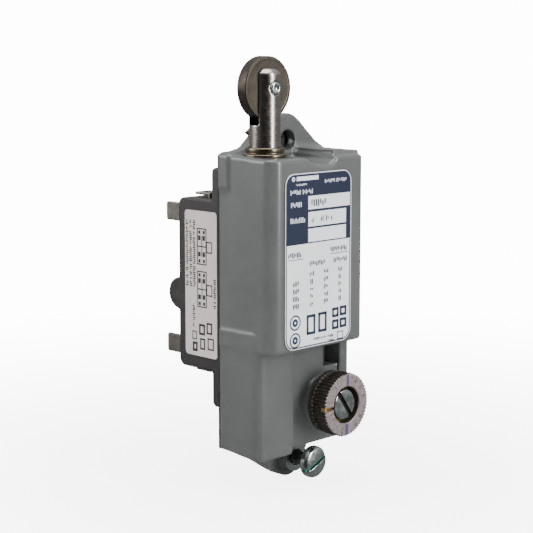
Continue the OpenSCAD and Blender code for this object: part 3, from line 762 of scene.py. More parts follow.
def keep(obj: bpy.types.Object, body: str, slot: str, *nodes: str) -> bpy.types.Object:
    """Says which body a piece rides on and which CAD nodes it stands for; the slot argument is not used."""
    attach(obj, body)
    if nodes:
        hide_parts(*nodes)
    LOG.info("%s: %d faces, rides on %s", obj.name, len(obj.data.polygons), body)
    return obj


# ---------------------------------------------------------------- sub-assemblies


@dataclass
class CastHead:
    """The enamelled die casting with its ears, its step and the boss behind the dial."""

    left: float = -34.6
    right: float = 20.0
    bottom: float = -58.8
    foot_drop: float = 2.2
    column: float = -14.1
    top: float = 62.3
    step: float = -16.0
    back: float = -1.2
    upper_front: float = -30.8
    lower_front: float = -23.6
    ear_front: float = -6.2
    lug_front: float = -7.2
    lug_boss: float = -10.3
    mount: float = 67.3
    hole: float = 4.1
    cell: float = 0.72
    dial: tuple[float, float, float] = (3.0, 0.0, -40.5)
    dial_boss: tuple[float, float] = (9.0, -27.8)
    panel_right: float = 13.6
    panel_sunk: float = 1.5
    notch_left: float = 5.4
    notch_foot: float = -27
    notch_depth: float = 8
    lug_radius: float = 5.8
    bushing_radius: float = 7.95
    spindle_radius: float = 6
    rod: tuple[float, float, float] = (-23.15, -16.0, 0.0)

    def plan(self, p: Array, front: float, radius: float) -> Array:
        """Plan of a block: drafted towards the front, round on the plunger's side and crisp on the other."""
        x, y = p[..., 0], p[..., 1]
        middle = (self.left + self.right) / 2
        drafted = middle + (x - middle) * (1 + 0.001 * (self.back - y))
        soft = sd_rect(drafted, y, (self.left, front), (self.right + 20, 12), radius)
        return meet(soft, drafted - self.right, 1.8)

    def blocks(self, p: Array) -> Array:
        """The upper and the lower block, joined under the step, with the panel, the notch and the foot."""
        x, y, z = p[..., 0], p[..., 1], p[..., 2]
        slope = 0.045 * (y - self.upper_front) - 0.5
        upper = sd_slab(self.plan(p, self.upper_front, 6), z - slope * (z > 20), self.step, self.top, 1.4)
        low_plan = self.plan(p, self.lower_front, 4)
        lower = sd_slab(low_plan, z, self.bottom, self.step + 8, 1.2)
        fall = self.bottom - self.foot_drop * (self.back - y) / (self.back - self.lower_front)
        foot = meet(meet(low_plan, x - self.column, 1.0), np.maximum(fall - z, z - self.bottom - 2), 1.6)
        lower = smooth_min(lower, foot, 0.6)
        front = self.lower_front
        far, over = self.panel_right, self.step + 6
        panel_low = (self.column, front - 9, self.bottom - 9)
        panel = sd_box(p, panel_low, (far, front + self.panel_sunk, over), 0.4)
        notch_low = (self.notch_left, front - 9, self.notch_foot)
        notch = sd_box(p, notch_low, (far, front + self.notch_depth, over), 0.5)
        lower = carve(carve(lower, panel, 0.9), notch, 0.8)
        return smooth_min(upper, lower, 1.6)

    def top_face(self, p: Array) -> Array:
        """The raised part right of the valley, which slopes down to the right."""
        x, y, z = p[..., 0], p[..., 1], p[..., 2]
        high = self.top + 1.9
        outline = sd_polygon(x, z, [(4.2, 50), (4.2, high), (self.right, high - 0.9), (self.right, 50)])
        return sd_slab(outline, y, self.upper_front + 3.0, self.back, 0.8)

    def ears(self, p: Array) -> tuple[Array, Array]:
        """The upper ear with its eye, shoulder and barb, and the lower ear."""
        x, y, z = p[..., 0], p[..., 1], p[..., 2]
        eye = np.hypot(x + 1.0, z - self.mount) - 11.2
        web = sd_polygon(
            x, z,
            [
                (self.left, 50), (self.left, self.top), (-27.7, 63.7), (-23.5, 65.2), (-17.9, 70.3),
                (-20.2, 71.7), (-5.2, 77.7), (6.9, 75.3), (16.6, 66.8), (self.right, 64), (self.right, 50),
            ],
        )
        upper = sd_slab(smooth_min(eye, web, 0.6), y, self.ear_front, 6, 0.7)
        low_eye = np.hypot(x, z + self.mount) - 9.0
        low_web = sd_polygon(
            x, z,
            [(-29.6, -50), (-29.6, self.bottom), (-6.5, -74), (6.4, -73.6), (15, self.bottom), (15, -50)],
        )
        lower = sd_slab(smooth_min(low_eye, low_web, 0.6), y, self.lug_front, 6, 0.8)
        return upper, lower

    def hollows(self, p: Array) -> Array:
        """The cavities behind: the lever column, the adjuster's room and the spare pocket."""
        column = sd_box(p, (-31, -27.3, -12), (-15.3, 9, 36), 1)
        lower_column = sd_box(p, (-31, -20.1, -32.5), (-15.3, 9, -11), 0.5)
        adjuster = sd_box(p, (-31, -16, -53), (16.5, 9, -31.5), 1)
        shelf = sd_box(p, (-31, -12, -33), (16.5, 9, -28), 0.5)
        pocket = sd_box(p, (-12, -27.3, -11), (16.5, 9, 46), 1)
        parts = (column, lower_column, adjuster, shelf, pocket)
        return np.minimum.reduce(parts)

    def solid(self, p: Array) -> Array:
        """The whole casting as one field."""
        x, y, z = p[..., 0], p[..., 1], p[..., 2]
        upper_ear, lower_ear = self.ears(p)
        body = smooth_min(self.blocks(p), self.top_face(p), 1.6)
        valley = sd_slab(
            sd_polygon(
                x, z,
                [(-13.8, 90), (-13.8, 62.4), (-11.2, 60.2), (-6, 58.8), (-0.5, 58.8), (2.6, 60.6), (4.6, 90)],
            ),
            y, -50, self.ear_front - 0.2, 0,
        )
        body = carve(body, valley, 2.0)
        body = smooth_min(body, upper_ear, 3.2)
        body = smooth_min(body, lower_ear, 2.4)
        boss = sd_slab(sd_disc(p, 1, self.dial, self.dial_boss[0]), y, self.dial_boss[1], self.back, 0.5)
        body = smooth_min(body, boss, 2.6)
        lug = sd_slab(sd_disc(p, 1, (0, 0, -self.mount), self.lug_radius), y, self.lug_boss, self.back, 0.4)
        body = smooth_min(body, lug, 1.0)
        body = carve(body, self.hollows(p), 0)
        for side in (-1, 1):
            body = carve(body, np.hypot(x, z - side * self.mount) - self.hole, 0.7)
        bushing_seat = sd_slab(sd_disc(p, 2, self.rod, self.bushing_radius), z, 35, 90, 0)
        body = carve(body, bushing_seat, 0.4)
        spindle_bore = sd_slab(sd_disc(p, 1, self.dial, self.spindle_radius), y, -60, -15, 0)
        body = carve(body, spindle_bore, 0)
        return np.maximum.reduce([body, y - self.back, x - self.right])

    def build(self) -> None:
        """Makes the casting and dresses it."""
        lo = (self.left, self.upper_front, -78)
        cast = skin("cast_head", self.solid, lo, (self.right, self.back, 80), self.cell, sharp=50)
        keep(dress(cast, ENAMEL), "head", "cast_paint", "housing")


@dataclass
class Nameplate:
    """The printed plate: a blue field with white boxes over a white table, all of it wordless."""

    lo: tuple[float, float] = (-27.1, -14.8)
    hi: tuple[float, float] = (11.7, 56.1)
    front: float = -31.3
    back: float = -30.8
    corner: float = 5.0
    blue_floor: float = 27.7
    seed: int = 7
    ink: float = 0.03
    rng: np.random.Generator = field(init=False)

    def __post_init__(self) -> None:
        """Seeds the word lengths."""
        self.rng = np.random.default_rng(self.seed)

    def bars(self, x: float, z: float, width: float, size: float, groups: int = 1) -> Boxes:
        """A line of upright strokes that stands for print, in groups as wide as words.

        Args:
            x: Left end of the line.
            z: Foot of the line.
            width: Length of the line.
            size: Height of the tallest strokes.
            groups: How many words the line is split into.

        Returns:
            Lowest and highest corners of the strokes.
        """
        pitch, thick = 0.46 * size, 0.27 * size
        count = max(int(width / pitch), 2)
        out = []
        for k in range(count):
            if groups > 1 and k % max(count // groups, 2) == max(count // groups, 2) - 1:
                continue
            at = x + k * pitch
            foot = z + size * float(self.rng.choice([0.0, 0.0, 0.3]))
            tall = size * float(self.rng.choice([1.0, 1.0, 0.72]))
            low, high = min(foot, z + tall - 0.4 * size), z + tall
            out.append(((at, self.front - 2.5 * self.ink, low), (at + thick, self.front, high)))
        return out

    def panel(self, x0: float, z0: float, x1: float, z1: float, layer: int = 1) -> tuple[tuple, tuple]:
        """Corners of one flat printed rectangle, on a given layer of ink."""
        return (x0, self.front - layer * self.ink, z0), (x1, self.front, z1)

    def build(self) -> None:
        """Makes the plate, its coloured fields and its print."""
        left, low = self.lo
        right, high = self.hi
        outline = corner_rect(self.lo, self.hi, self.corner, 10)
        plate = slab("nameplate_sheet", outline, (0, 2), self.front, self.back, 0.12)
        dress(plate, PLATE)
        _, normal = face_data(plate)
        dress_second(plate, PLATE_EDGE, np.abs(normal[:, 1]) < 0.9)
        keep(plate, "head", "label_plate", "nameplate")
        rim = 0.55
        field_outline = corner_rect((left + rim, low + rim), (right - rim, high - rim), self.corner - rim, 10)
        above = field_outline[field_outline[:, 1] > self.blue_floor]
        ends = np.array([(left + rim, self.blue_floor), (right - rim, self.blue_floor)])
        field = np.concatenate([above, ends])
        blue = slab("nameplate_blue", field, (0, 2), self.front - self.ink, self.front, 0.004)
        keep(dress(blue, BLUE), "head", "label_plate")
        self.frame_line(left, low, right, high)
        boxes = [
            (-14.0, 41.3, 10.7, 46.7), (-14.0, 34.4, 8.4, 40.3), (-14.0, 28.2, 8.4, 33.6),
            (-20.7, 53.1, -8.1, 54.8),
        ]
        white = plates("nameplate_boxes", [self.panel(*b, layer=2) for b in boxes])
        keep(dress(white, PLATE), "head", "label_plate")
        self.print_light()
        self.print_dark()
        self.print_table()
        self.marks()

    def frame_line(self, left: float, low: float, right: float, high: float) -> None:
        """The thin dark line round the white half, as four strips with round corners at the foot."""
        outer = corner_rect((left + 0.45, low + 0.45), (right - 0.45, high - 0.45), self.corner - 0.45, 10)
        inner = corner_rect((left + 0.95, low + 0.95), (right - 0.95, high - 0.95), self.corner - 0.95, 10)
        loop = np.stack([outer, inner], 0)
        points = np.zeros((2, len(outer), 3))
        points[..., 0], points[..., 2] = loop[..., 0], loop[..., 1]
        points[..., 1] = self.front - self.ink * 0.6
        line = new_object("nameplate_line", points.reshape(-1, 3), ring_faces(2, len(outer), False, True), 30)
        thick = line.modifiers.new("ink", "SOLIDIFY")
        thick.thickness = 0.00001
        keep(dress(line, BLUE), "head", "label_plate")

    def print_light(self) -> None:
        """White print on the blue field, and the small disc at its head."""
        out = []
        out += self.bars(-21.0, 51.1, 6.6, 0.9)
        out += self.bars(-4.4, 51.4, 14.2, 1.5, 2)
        out += self.bars(-24.2, 47.7, 14.6, 1.9, 2)
        out += self.bars(-23.9, 42.7, 6.6, 2.0)
        out += self.bars(-24.2, 36.4, 9.6, 2.1)
        disc = rounded([(0.3, 0), (0.95, 0), (0.95, 0.03), (0.3, 0.03)], 0.004, 1)
        badge = lathe("badge", Axis((-22.5, self.front - 2 * self.ink, 53.9), 1), disc, 24)
        light = join("nameplate_print_light", [plates("light", out), badge])
        keep(dress(light, SOFT_INK), "head", "label_plate")

    def print_dark(self) -> None:
        """Dark entries in the two upper boxes."""
        out = []
        out += self.bars(-12.3, 42.4, 9.8, 2.8)
        out += self.bars(-12.0, 36.0, 1.6, 1.7)
        out += self.bars(-6.7, 36.1, 7.8, 2.2, 2)
        keep(dress(plates("nameplate_print_dark", out), INK), "head", "label_plate")

    def print_table(self) -> None:
        """The wordless ratings table under the blue field: two underlined heads and four rows."""
        out = []
        out += self.bars(-25.3, 22.6, 8.2, 2.1)
        out += self.bars(-0.9, 23.0, 10.4, 2.0)
        out += [self.panel(-25.3, 21.6, -16.8, 21.9), self.panel(-0.9, 22.1, 10.0, 22.4)]
        out += self.bars(-13.0, 18.3, 9.6, 2.0)
        out += self.bars(1.1, 18.5, 8.6, 2.0)
        for x, width in ((-13.0, 3.2), (-4.5, 3.2), (4.0, 3.1)):
            out += self.bars(x, 14.3, width, 2.0)
        for row in range(4):
            z = 11.0 - 3.05 * row
            out += self.bars(-22.6, z, 4.3, 2.0)
            out += self.bars(-12.6, z + 0.1, 2.4, 2.0)
            out += self.bars(-4.5, z + 0.3, 3.4, 1.9)
            out += self.bars(4.2, z + 0.5, 2.6, 1.9)
        out += self.bars(-10.4, -12.3, 12.6, 1.1, 3)
        out += self.bars(-1.6, -14.0, 3.4, 0.8)
        keep(dress(plates("nameplate_print_table", out), BLUE_INK), "head", "label_plate")

    def square_frame(self, x0: float, z0: float, x1: float, z1: float, line: float) -> Boxes:
        """Four strips round a rectangle."""
        return [
            self.panel(x0, z0, x1, z0 + line), self.panel(x0, z1 - line, x1, z1),
            self.panel(x0, z0, x0 + line, z1), self.panel(x1 - line, z0, x1, z1),
        ]

    def marks(self) -> None:
        """Plain shapes at the plate's foot: two ringed discs, two frames, four small frames and a square."""
        loop = rounded([(2.5, 0), (3.15, 0), (3.15, 0.02), (2.5, 0.02)], 0.004, 1)
        spot = rounded([(0.5, 0), (1.6, 0), (1.6, 0.02), (0.5, 0.02)], 0.004, 1)
        parts = []
        for z in (-3.7, -10.9):
            face = Axis((-21.3, self.front - self.ink, z), 1)
            parts += [lathe("ring", face, loop, 48), lathe("spot", face, spot, 32)]
        bars = self.square_frame(-14.7, -9.6, -9.6, -1.4, 1.15)
        bars += self.square_frame(-7.9, -9.4, -2.8, -1.2, 1.15)
        for x, z in ((0.4, -4.4), (5.1, -4.2), (0.4, -9.4), (5.1, -9.2)):
            bars += self.square_frame(x, z, x + 4.0, z + 4.0, 1.1)
        bars += self.square_frame(3.5, -13.9, 7.2, -10.6, 0.4)
        parts.append(plates("bars", bars))
        keep(dress(join("nameplate_marks", parts), BLUE_INK), "head", "label_plate")


@dataclass
class Plunger:
    """The push rod in its bronze bushing, with the roller on its riveted pin."""

    x: float = -23.15
    y: float = -16.0
    radius: float = 6.35
    top: float = 97.2
    foot: float = 14.5
    roller_z: float = 89.4
    roller_shift: float = 0.5
    roller_radius: float = 12.7
    roller_half: float = 2.6
    slot_half: float = 2.9
    pin: float = 2.5

    def rod(self, p: Array) -> Array:
        """The rod: a cylinder with a coned top, the roller's slot, a keyway and a thinner stem."""
        x, y, z = p[..., 0], p[..., 1], p[..., 2]
        flat = sd_disc(p, 2, (self.x, self.y, 0), self.radius)
        body = sd_slab(flat, z, 33, self.top, 0.5)
        cone = (flat + (z - self.top) + 1.9) / math.sqrt(2)
        body = meet(body, cone, 0.5)
        stem = sd_slab(sd_disc(p, 2, (self.x, self.y, 0), 4), z, self.foot, 36, 0.5)
        body = np.minimum(body, stem)
        middle = self.y + self.roller_shift
        slot_low = (self.x - 20, middle - self.slot_half, 74.9)
        slot_high = (self.x + 20, middle + self.slot_half, 130)
        slot = sd_box(p, slot_low, slot_high, 0.4)
        body = carve(body, slot, 0.35)
        body = carve(body, np.hypot(x - self.x, z - self.roller_z) - self.pin - 0.15, 0.5)
        keyway = sd_box(p, (self.x + 5.1, self.y - 1.5, 44), (self.x + 20, self.y + 1.5, 54), 0.2)
        body = carve(body, keyway, 0)
        groove = np.maximum(np.abs(z - 34.95) - 0.75, 5.5 - np.hypot(x - self.x, y - self.y))
        return carve(body, groove, 0)

    def build(self) -> None:
        """Makes the rod, roller, pin and bushing."""
        lo = (self.x - self.radius, self.y - self.radius, self.foot)
        hi = (self.x + self.radius, self.y + self.radius, self.top)
        rod = dress(skin("push_rod_ground", self.rod, lo, hi, 0.36, sharp=45), STAINLESS)
        centre, _ = face_data(rod)
        off_middle = np.abs(centre[:, 1] - self.y - self.roller_shift)
        in_slot = (off_middle < self.slot_half + 0.02) & (centre[:, 2] > 74.7) & (centre[:, 2] < 97)
        # Painted shade: the faces inside the roller's slot are painted near black.
        dress_second(rod, SLOT_SHADE, in_slot)
        keep(rod, "plunger", "stainless", "push_rod")
        self.make_roller()
        self.make_pin()
        self.make_bushing()

    def make_roller(self) -> None:
        """The roller: a rim with broken edges, shallow dished faces and a hub bored for the pin."""
        r, h = self.roller_radius, self.roller_half
        dish = h - 0.12
        half = [
            (self.pin + 0.06, h), (5.0, h), (5.3, dish), (r - 1.7, dish), (r - 1.4, h), (r - 0.35, h),
            (r, h - 0.35),
        ]
        loop = np.array(half + [(a, -b) for a, b in half[::-1]])
        place = Axis((self.x, self.y + self.roller_shift, self.roller_z), 1)
        piece = dress(lathe("roller_turned", place, rounded(loop, 0.14, 3), 144, sharp=30), ROLLER_STEEL)
        centre, _ = face_data(piece)
        reach = np.hypot(centre[:, 0] - self.x, centre[:, 2] - self.roller_z)
        # Painted shade: the rim's faces get the darker copy of the roller's steel.
        dress_second(piece, ROLLER_RIM_SHADE, reach > r - 0.2)
        keep(piece, "roller", "roller_steel", "roller")

    def make_pin(self) -> None:
        """The pin: riveted at both ends, each with a dimple and a raised lip."""
        half, r = self.radius + 0.35, self.pin
        end = [
            (0, half - 0.75), (0.8, half - 0.7), (1.2, half - 0.25), (1.6, half), (2.15, half - 0.05),
            (r, half - 0.45),
        ]
        profile = np.array([(a, -b) for a, b in end] + end[::-1])
        place = Axis((self.x, self.y, self.roller_z), 1)
        piece = lathe("roller_pin_riveted", place, profile, 48, closed=False, sharp=60)
        keep(dress(piece, ZINC), "plunger", "zinc_plate", "roller_pin")

    def make_bushing(self) -> None:
        """The bushing: a long sleeve with a seat flange, a groove and a raised collar above the casting."""
        bore, sleeve = self.radius + 0.06, 7.93
        profile = rounded(
            [(bore, 36), (sleeve, 36), (sleeve, 62.3), (8.8, 62.3), (8.8, 63.2), (8.1, 63.6), (7.6, 63.75),
             (7.6, 64.1), (7.95, 64.3), (7.95, 65.6), (7.6, 66.0), (7.35, 66.0), (7.35, 63.4), (bore, 63.4)],
            0.16, 2,
        )
        piece = lathe("bushing_turned", Axis((self.x, self.y, 0), 2), profile, 96, sharp=35)
        keep(dress(piece, BRONZE), "head", "bronze", "plunger_bushing")


@dataclass
class TripDial:
    """The knurled dial with its numbers, key, lock screw and the serrated ring behind it."""

    x: float = 3.0
    z: float = -40.5
    front: float = -37.5
    rear: float = -31.0
    radius: float = 13.25
    bore: float = 7.75
    teeth: int = 56
    beads: int = 48
    key_depth: float = 2.3
    key_half: float = 1.05

    def axis(self, y: float) -> Axis:
        """The dial's axis, from a given depth."""
        return Axis((self.x, y, self.z), 1)

    def knurl(self, radius: Array, height: Array, angle: Array) -> Array:
        """Straight knurl: a saw of the angle, cut 0.6 deep on the rim and through the edge of the face."""
        wave = np.abs(np.mod(angle * self.teeth / (2 * math.pi), 1) * 2 - 1)
        return -0.6 * np.minimum(wave * 1.5, 1.0) * (radius > self.radius - 0.5)

    def build(self) -> None:
        """Makes the dial, in a slotted front part and a whole rear part, and everything on its axis."""
        length, deep, bore, rim = self.rear - self.front, self.key_depth, self.bore, self.radius
        front_part = [(bore, 0.35), (bore + 0.3, 0), (rim - 0.3, 0), (rim, 0.3), (rim, deep), (bore, deep)]
        rear_part = [(bore, deep), (rim, deep), (rim, length - 0.25), (rim - 0.4, length), (2.6, length),
                     (2.6, length - 2), (bore, length - 2)]
        gap = self.key_half / rim
        span = (math.pi + gap, 3 * math.pi - gap)
        steps = self.teeth * 10
        place = self.axis(self.front)
        cut = lathe("dial_knurled", place, np.array(front_part), steps, self.knurl, span=span, sharp=28)
        whole = lathe("dial_rear", place, np.array(rear_part), steps, self.knurl, sharp=28)
        dial = dress(join("dial_knurled", [cut, whole]), DIE_CAST)
        centre, _ = face_data(dial)
        reach = np.hypot(centre[:, 0] - self.x, centre[:, 2] - self.z)
        depth = centre[:, 1] - self.front
        side = (reach > rim - 1) & (depth > 0.32)
        inside = (reach < bore + 0.1) & (depth > 0.5)
        floor = (reach < bore - 0.1) & (reach > 3) & (depth < length - 1)
        # Painted shade: the knurled side and the inside of the bore get the dark copy of the casting.
        dress_second(dial, DIAL_SHADE, side | inside)
        dress_second(dial, ZINC_OLIVE, floor)
        keep(dial, "dial", "die_cast_zinc", "adjusting_dial")
        self.make_key()
        self.make_marks()
        self.make_index_ring()
        self.make_lock_screw()

    def make_key(self) -> None:
        """The brass key in the outer half of the dial's radial slot, with a ribbed end on the rim."""
        lo = (self.x - self.radius + 0.02, self.front - 0.1, self.z - self.key_half + 0.1)
        hi = (self.x - 9.3, self.front + self.key_depth - 0.05, self.z + self.key_half - 0.1)

        def body(p: Array) -> Array:
            """The key with shallow ribs across its outer end."""
            ribs = 0.12 * np.sin(p[..., 2] * 9.5) * (p[..., 0] < lo[0] + 1)
            return sd_box(p, lo, hi, 0.2) + ribs

        key = skin("dial_key_brass", body, lo, hi, 0.16)
        keep(dress(key, BRASS), "dial", "brass", "dial_key")

    def make_marks(self) -> None:
        """Numbers, ticks and index lines on the dial's face, as thin inlays; the dark numbers and ticks are
        painted shade that shows their relief.
        """
        face, deep = self.front - 0.015, 0.03
        mid = (self.bore + self.radius) / 2
        violet = [
            self.radial_strip(90, 0.62, self.bore + 0.25, self.radius - 0.7, face, 0.5),
            self.radial_strip(270, 0.78, self.bore + 0.25, self.radius - 0.7, face),
        ]
        keep(dress(join("dial_index_lines", violet), MARK_VIOLET), "dial", "die_cast_zinc")
        gold = self.radial_strip(90, 0.2, self.bore + 0.1, self.radius - 0.7, face, -1.0)
        keep(dress(gold, MARK_GOLD), "dial", "die_cast_zinc")
        skipped = (90, 180, 270)
        turns = [a for a in range(15, 360, 15) if a not in skipped]
        ticks = [self.radial_strip(a, 0.1, self.radius - 1.9, self.radius - 0.8, face) for a in turns]
        ticks += [self.radial_strip(a, 0.14, self.bore + 0.7, self.bore + 2.2, face) for a in (165, 195, 210)]
        spots = (235, 255, 130, 60, 36, 12, -12, -36, -58)
        numbers = [self.number(str(k + 1), angle, mid - 0.1, face, deep) for k, angle in enumerate(spots)]
        # Painted shade: the numbers and ticks are dark inlays standing for the shade in their relief.
        keep(dress(join("dial_numbers", ticks + numbers), MARK_SHADE), "dial", "die_cast_zinc")

    def radial_strip(
        self, angle: float, half: float, r0: float, r1: float, face: float, aside: float = 0.0
    ) -> bpy.types.Object:
        """A thin bar along a radius, at an angle in degrees from +X towards +Z, moved aside to the right."""
        turn = math.radians(angle)
        out, side = np.array([math.cos(turn), math.sin(turn)]), np.array([-math.sin(turn), math.cos(turn)])
        low, high = -side * (half + aside), side * (half - aside)
        outline = np.array([out * r0 + low, out * r1 + low, out * r1 + high, out * r0 + high])
        return slab("strip", outline + np.array([self.x, self.z]), (0, 2), face - 0.01, face + 0.02, 0.004)

    def number(self, text: str, angle: float, reach: float, face: float, deep: float) -> bpy.types.Object:
        """One engraved number that stands upright along its radius."""
        curve = bpy.data.curves.new("number", "FONT")
        curve.body = text
        curve.align_x, curve.align_y = "CENTER", "CENTER"
        curve.size, curve.extrude = 3.1, deep / 2
        curve.resolution_u = 3
        made = bpy.data.objects.new("number", curve)
        bpy.context.scene.collection.objects.link(made)
        mesh = bpy.data.meshes.new_from_object(made.evaluated_get(bpy.context.evaluated_depsgraph_get()))
        bpy.data.objects.remove(made)
        count = len(mesh.vertices)
        flat = np.zeros(count * 3)
        mesh.vertices.foreach_get("co", flat)
        flat = flat.reshape(-1, 3)
        turn = math.radians(angle)
        spin = turn - math.pi / 2
        u = flat[:, 0] * math.cos(spin) - flat[:, 1] * math.sin(spin)
        v = flat[:, 0] * math.sin(spin) + flat[:, 1] * math.cos(spin)
        mid_x, mid_z = self.x + reach * math.cos(turn), self.z + reach * math.sin(turn)
        placed = np.stack([mid_x + u, face - flat[:, 2], mid_z + v], 1)
        mesh.vertices.foreach_set("co", (placed * MM).ravel())
        obj = bpy.data.objects.new("number", mesh)
        bpy.context.scene.collection.objects.link(obj)
        return obj

    def make_index_ring(self) -> None:
        """The ring on the boss: smooth, its side and back painted dark as shade, with a row of bright beads
        round its front edge.
        """
        front, deep, rim, row = self.rear + 0.3, 2.88, 13.2, 0.85
        profile = np.array([
            (7.4, 0), (rim - 0.35, 0), (rim, 0.25), (rim, row), (rim - 0.2, row + 0.15), (rim - 0.2, deep),
            (7.4, deep),
        ])

        def serration(radius: Array, height: Array, angle: Array) -> Array:
            """Saw cut 0.5 deep round the front edge."""
            wave = np.abs(np.mod(angle * self.beads / (2 * math.pi), 1) * 2 - 1)
            return -0.5 * np.minimum(wave * 1.7, 1) * (radius > rim - 0.4) * (height < row + 0.05)

        ring = lathe("index_ring_serrated", self.axis(front), profile, self.beads * 10, serration, sharp=28)
        dress(ring, DIE_CAST)
        centre, _ = face_data(ring)
        reach = np.hypot(centre[:, 0] - self.x, centre[:, 2] - self.z)
        # Painted shade: the ring's side and back get the dark copy of the casting.
        dress_second(ring, DIAL_SHADE, (reach < rim - 0.22) | (centre[:, 1] > front + row))
        keep(ring, "head", "die_cast_zinc", "index_ring")

    def make_lock_screw(self) -> None:
        """The wide slotted screw that locks the dial."""
        head = SlottedHead(6.25, 0.5, 2.0, 1.3, 54.6)
        front = self.front + 0.8
        under = front + 2.8
        axis, reach = (self.x, self.z), head.radius + 0.05
        shape = skin(
            "dial_lock_head", lambda p: head.field(p, axis, front, under),
            (self.x - reach, front, self.z - reach), (self.x + reach, under, self.z + reach), 0.17,
        )
        # Painted shade: the slot's floor and walls are painted near black.
        head.darken(dress(shape, ZINC), axis, front, SCREW_SLOT_SHADE)
        end = front + 9.5
        profile = [(0, under - 0.2), (1.5, under - 0.2), (1.5, end - 0.3), (1.2, end), (0, end)]
        shank = dress(lathe("lock_shank", self.axis(0), np.array(profile), 40, closed=False), ZINC)
        whole = join("dial_lock_screw_slotted", [shape, shank])
        keep(whole, "lock_screw", "zinc_plate", "dial_lock_screw")


@dataclass(frozen=True)
class SlottedHead:
    """A low screw head with a straight slot, facing -Y."""

    radius: float
    edge: float
    slot: float
    depth: float
    turn: float
    crown: float = 0.008

    def across(self, u: Array, v: Array) -> Array:
        """Distance from the slot's middle line, in the head's plane."""
        turn = math.radians(self.turn)
        return u * math.sin(turn) + v * math.cos(turn)

    def field(self, p: Array, axis: tuple[float, float], front: float, under: float) -> Array:
        """Distance to the head.

        Args:
            p: Points.
            axis: X and Z of the screw's axis.
            front: Depth of the slotted face.
            under: Depth of the head's underside.

        Returns:
            The head less its slot.
        """
        u, v = p[..., 0] - axis[0], p[..., 2] - axis[1]
        reach = np.hypot(u, v)
        head = sd_slab(reach - self.radius, p[..., 1] - self.crown * reach**2, front, under, self.edge)
        slot = np.maximum(np.abs(self.across(u, v)) - self.slot / 2, p[..., 1] - (front + self.depth))
        return carve(np.maximum(head, p[..., 1] - under), slot, 0.2)

    def darken(self, obj: bpy.types.Object, axis: tuple[float, float], front: float, finish: Finish) -> None:
        """Gives the slot's floor and walls a second, darker finish that paints the slot's shade."""
        centre, _ = face_data(obj)
        across = np.abs(self.across(centre[:, 0] - axis[0], centre[:, 2] - axis[1]))
        reach = np.hypot(centre[:, 0] - axis[0], centre[:, 2] - axis[1])
        sunk = centre[:, 1] - front - self.crown * reach**2
        dress_second(obj, finish, (across < self.slot / 2 + 0.05) & (sunk > 0.3) & (sunk < self.depth + 0.2))


@dataclass
class LowerScrew:
    """The backed-out mounting screw in the lower ear, with its washer."""

    z: float = -67.3
    front: float = -24.2
    under: float = -20.0
    washer: float = -11.8
    shank: float = 3.175
    tip: float = 6.8
    pitch: float = 1.27

    def thread(self) -> bpy.types.Object:
        """The shank: a plain neck, then a thread whose radius is a saw of height less turn."""
        turns = np.linspace(self.under - 0.4, self.tip, 260)[None, :]
        angle = np.linspace(0, 2 * math.pi, 48, endpoint=False)[:, None]
        phase = np.mod(turns / self.pitch - angle / (2 * math.pi), 1)
        saw = np.abs(phase * 2 - 1)
        fade = np.clip((turns - self.under - 1.2) / 0.8, 0, 1)
        end = np.clip((self.tip - turns) / 0.9, 0, 1)
        top = np.where(turns > 0, self.shank, 2.9)
        radius = (top - 0.62 * saw * fade) * (0.72 + 0.28 * np.sqrt(end))
        points = Axis((0, 0, self.z), 1).place(radius, turns + 0 * angle, angle + 0 * turns)
        faces = ring_faces(48, 260, True, False).tolist()
        faces.append([k * 260 for k in range(48)])
        faces.append([k * 260 + 259 for k in range(47, -1, -1)])
        return weld(new_object("thread", points.reshape(-1, 3), faces, 40), 40)

    def build(self) -> None:
        """Makes the screw and its washer."""
        head = SlottedHead(6.75, 1.6, 1.7, 1.9, -24.0, 0.022)
        axis, reach = (0.0, self.z), head.radius + 0.1
        shape = skin(
            "mounting_head", lambda p: head.field(p, axis, self.front, self.under),
            (-reach, self.front, self.z - reach), (reach, self.under, self.z + reach), 0.18,
        )
        # Green chromate tint with painted shade: the slot's floor and walls are painted dark green.
        head.darken(dress(shape, ZINC), axis, self.front, ZINC_GREEN_SLOT_SHADE)
        # Painted shade: the shank and thread are painted in darkened zinc.
        screw = join("mounting_screw_slotted", [shape, dress(self.thread(), THREAD_SHADE)])
        keep(screw, "mount_screw", "zinc_plate", "mounting_screw")
        washer = lathe(
            "mounting_washer_flat", Axis((0, self.washer, self.z), 1),
            rounded([(3.5, 0), (6.0, 0), (6.0, 1.5), (3.5, 1.5)], 0.3, 3), 64,
        )
        keep(dress(washer, ZINC), "head", "zinc_plate", "mounting_washer")


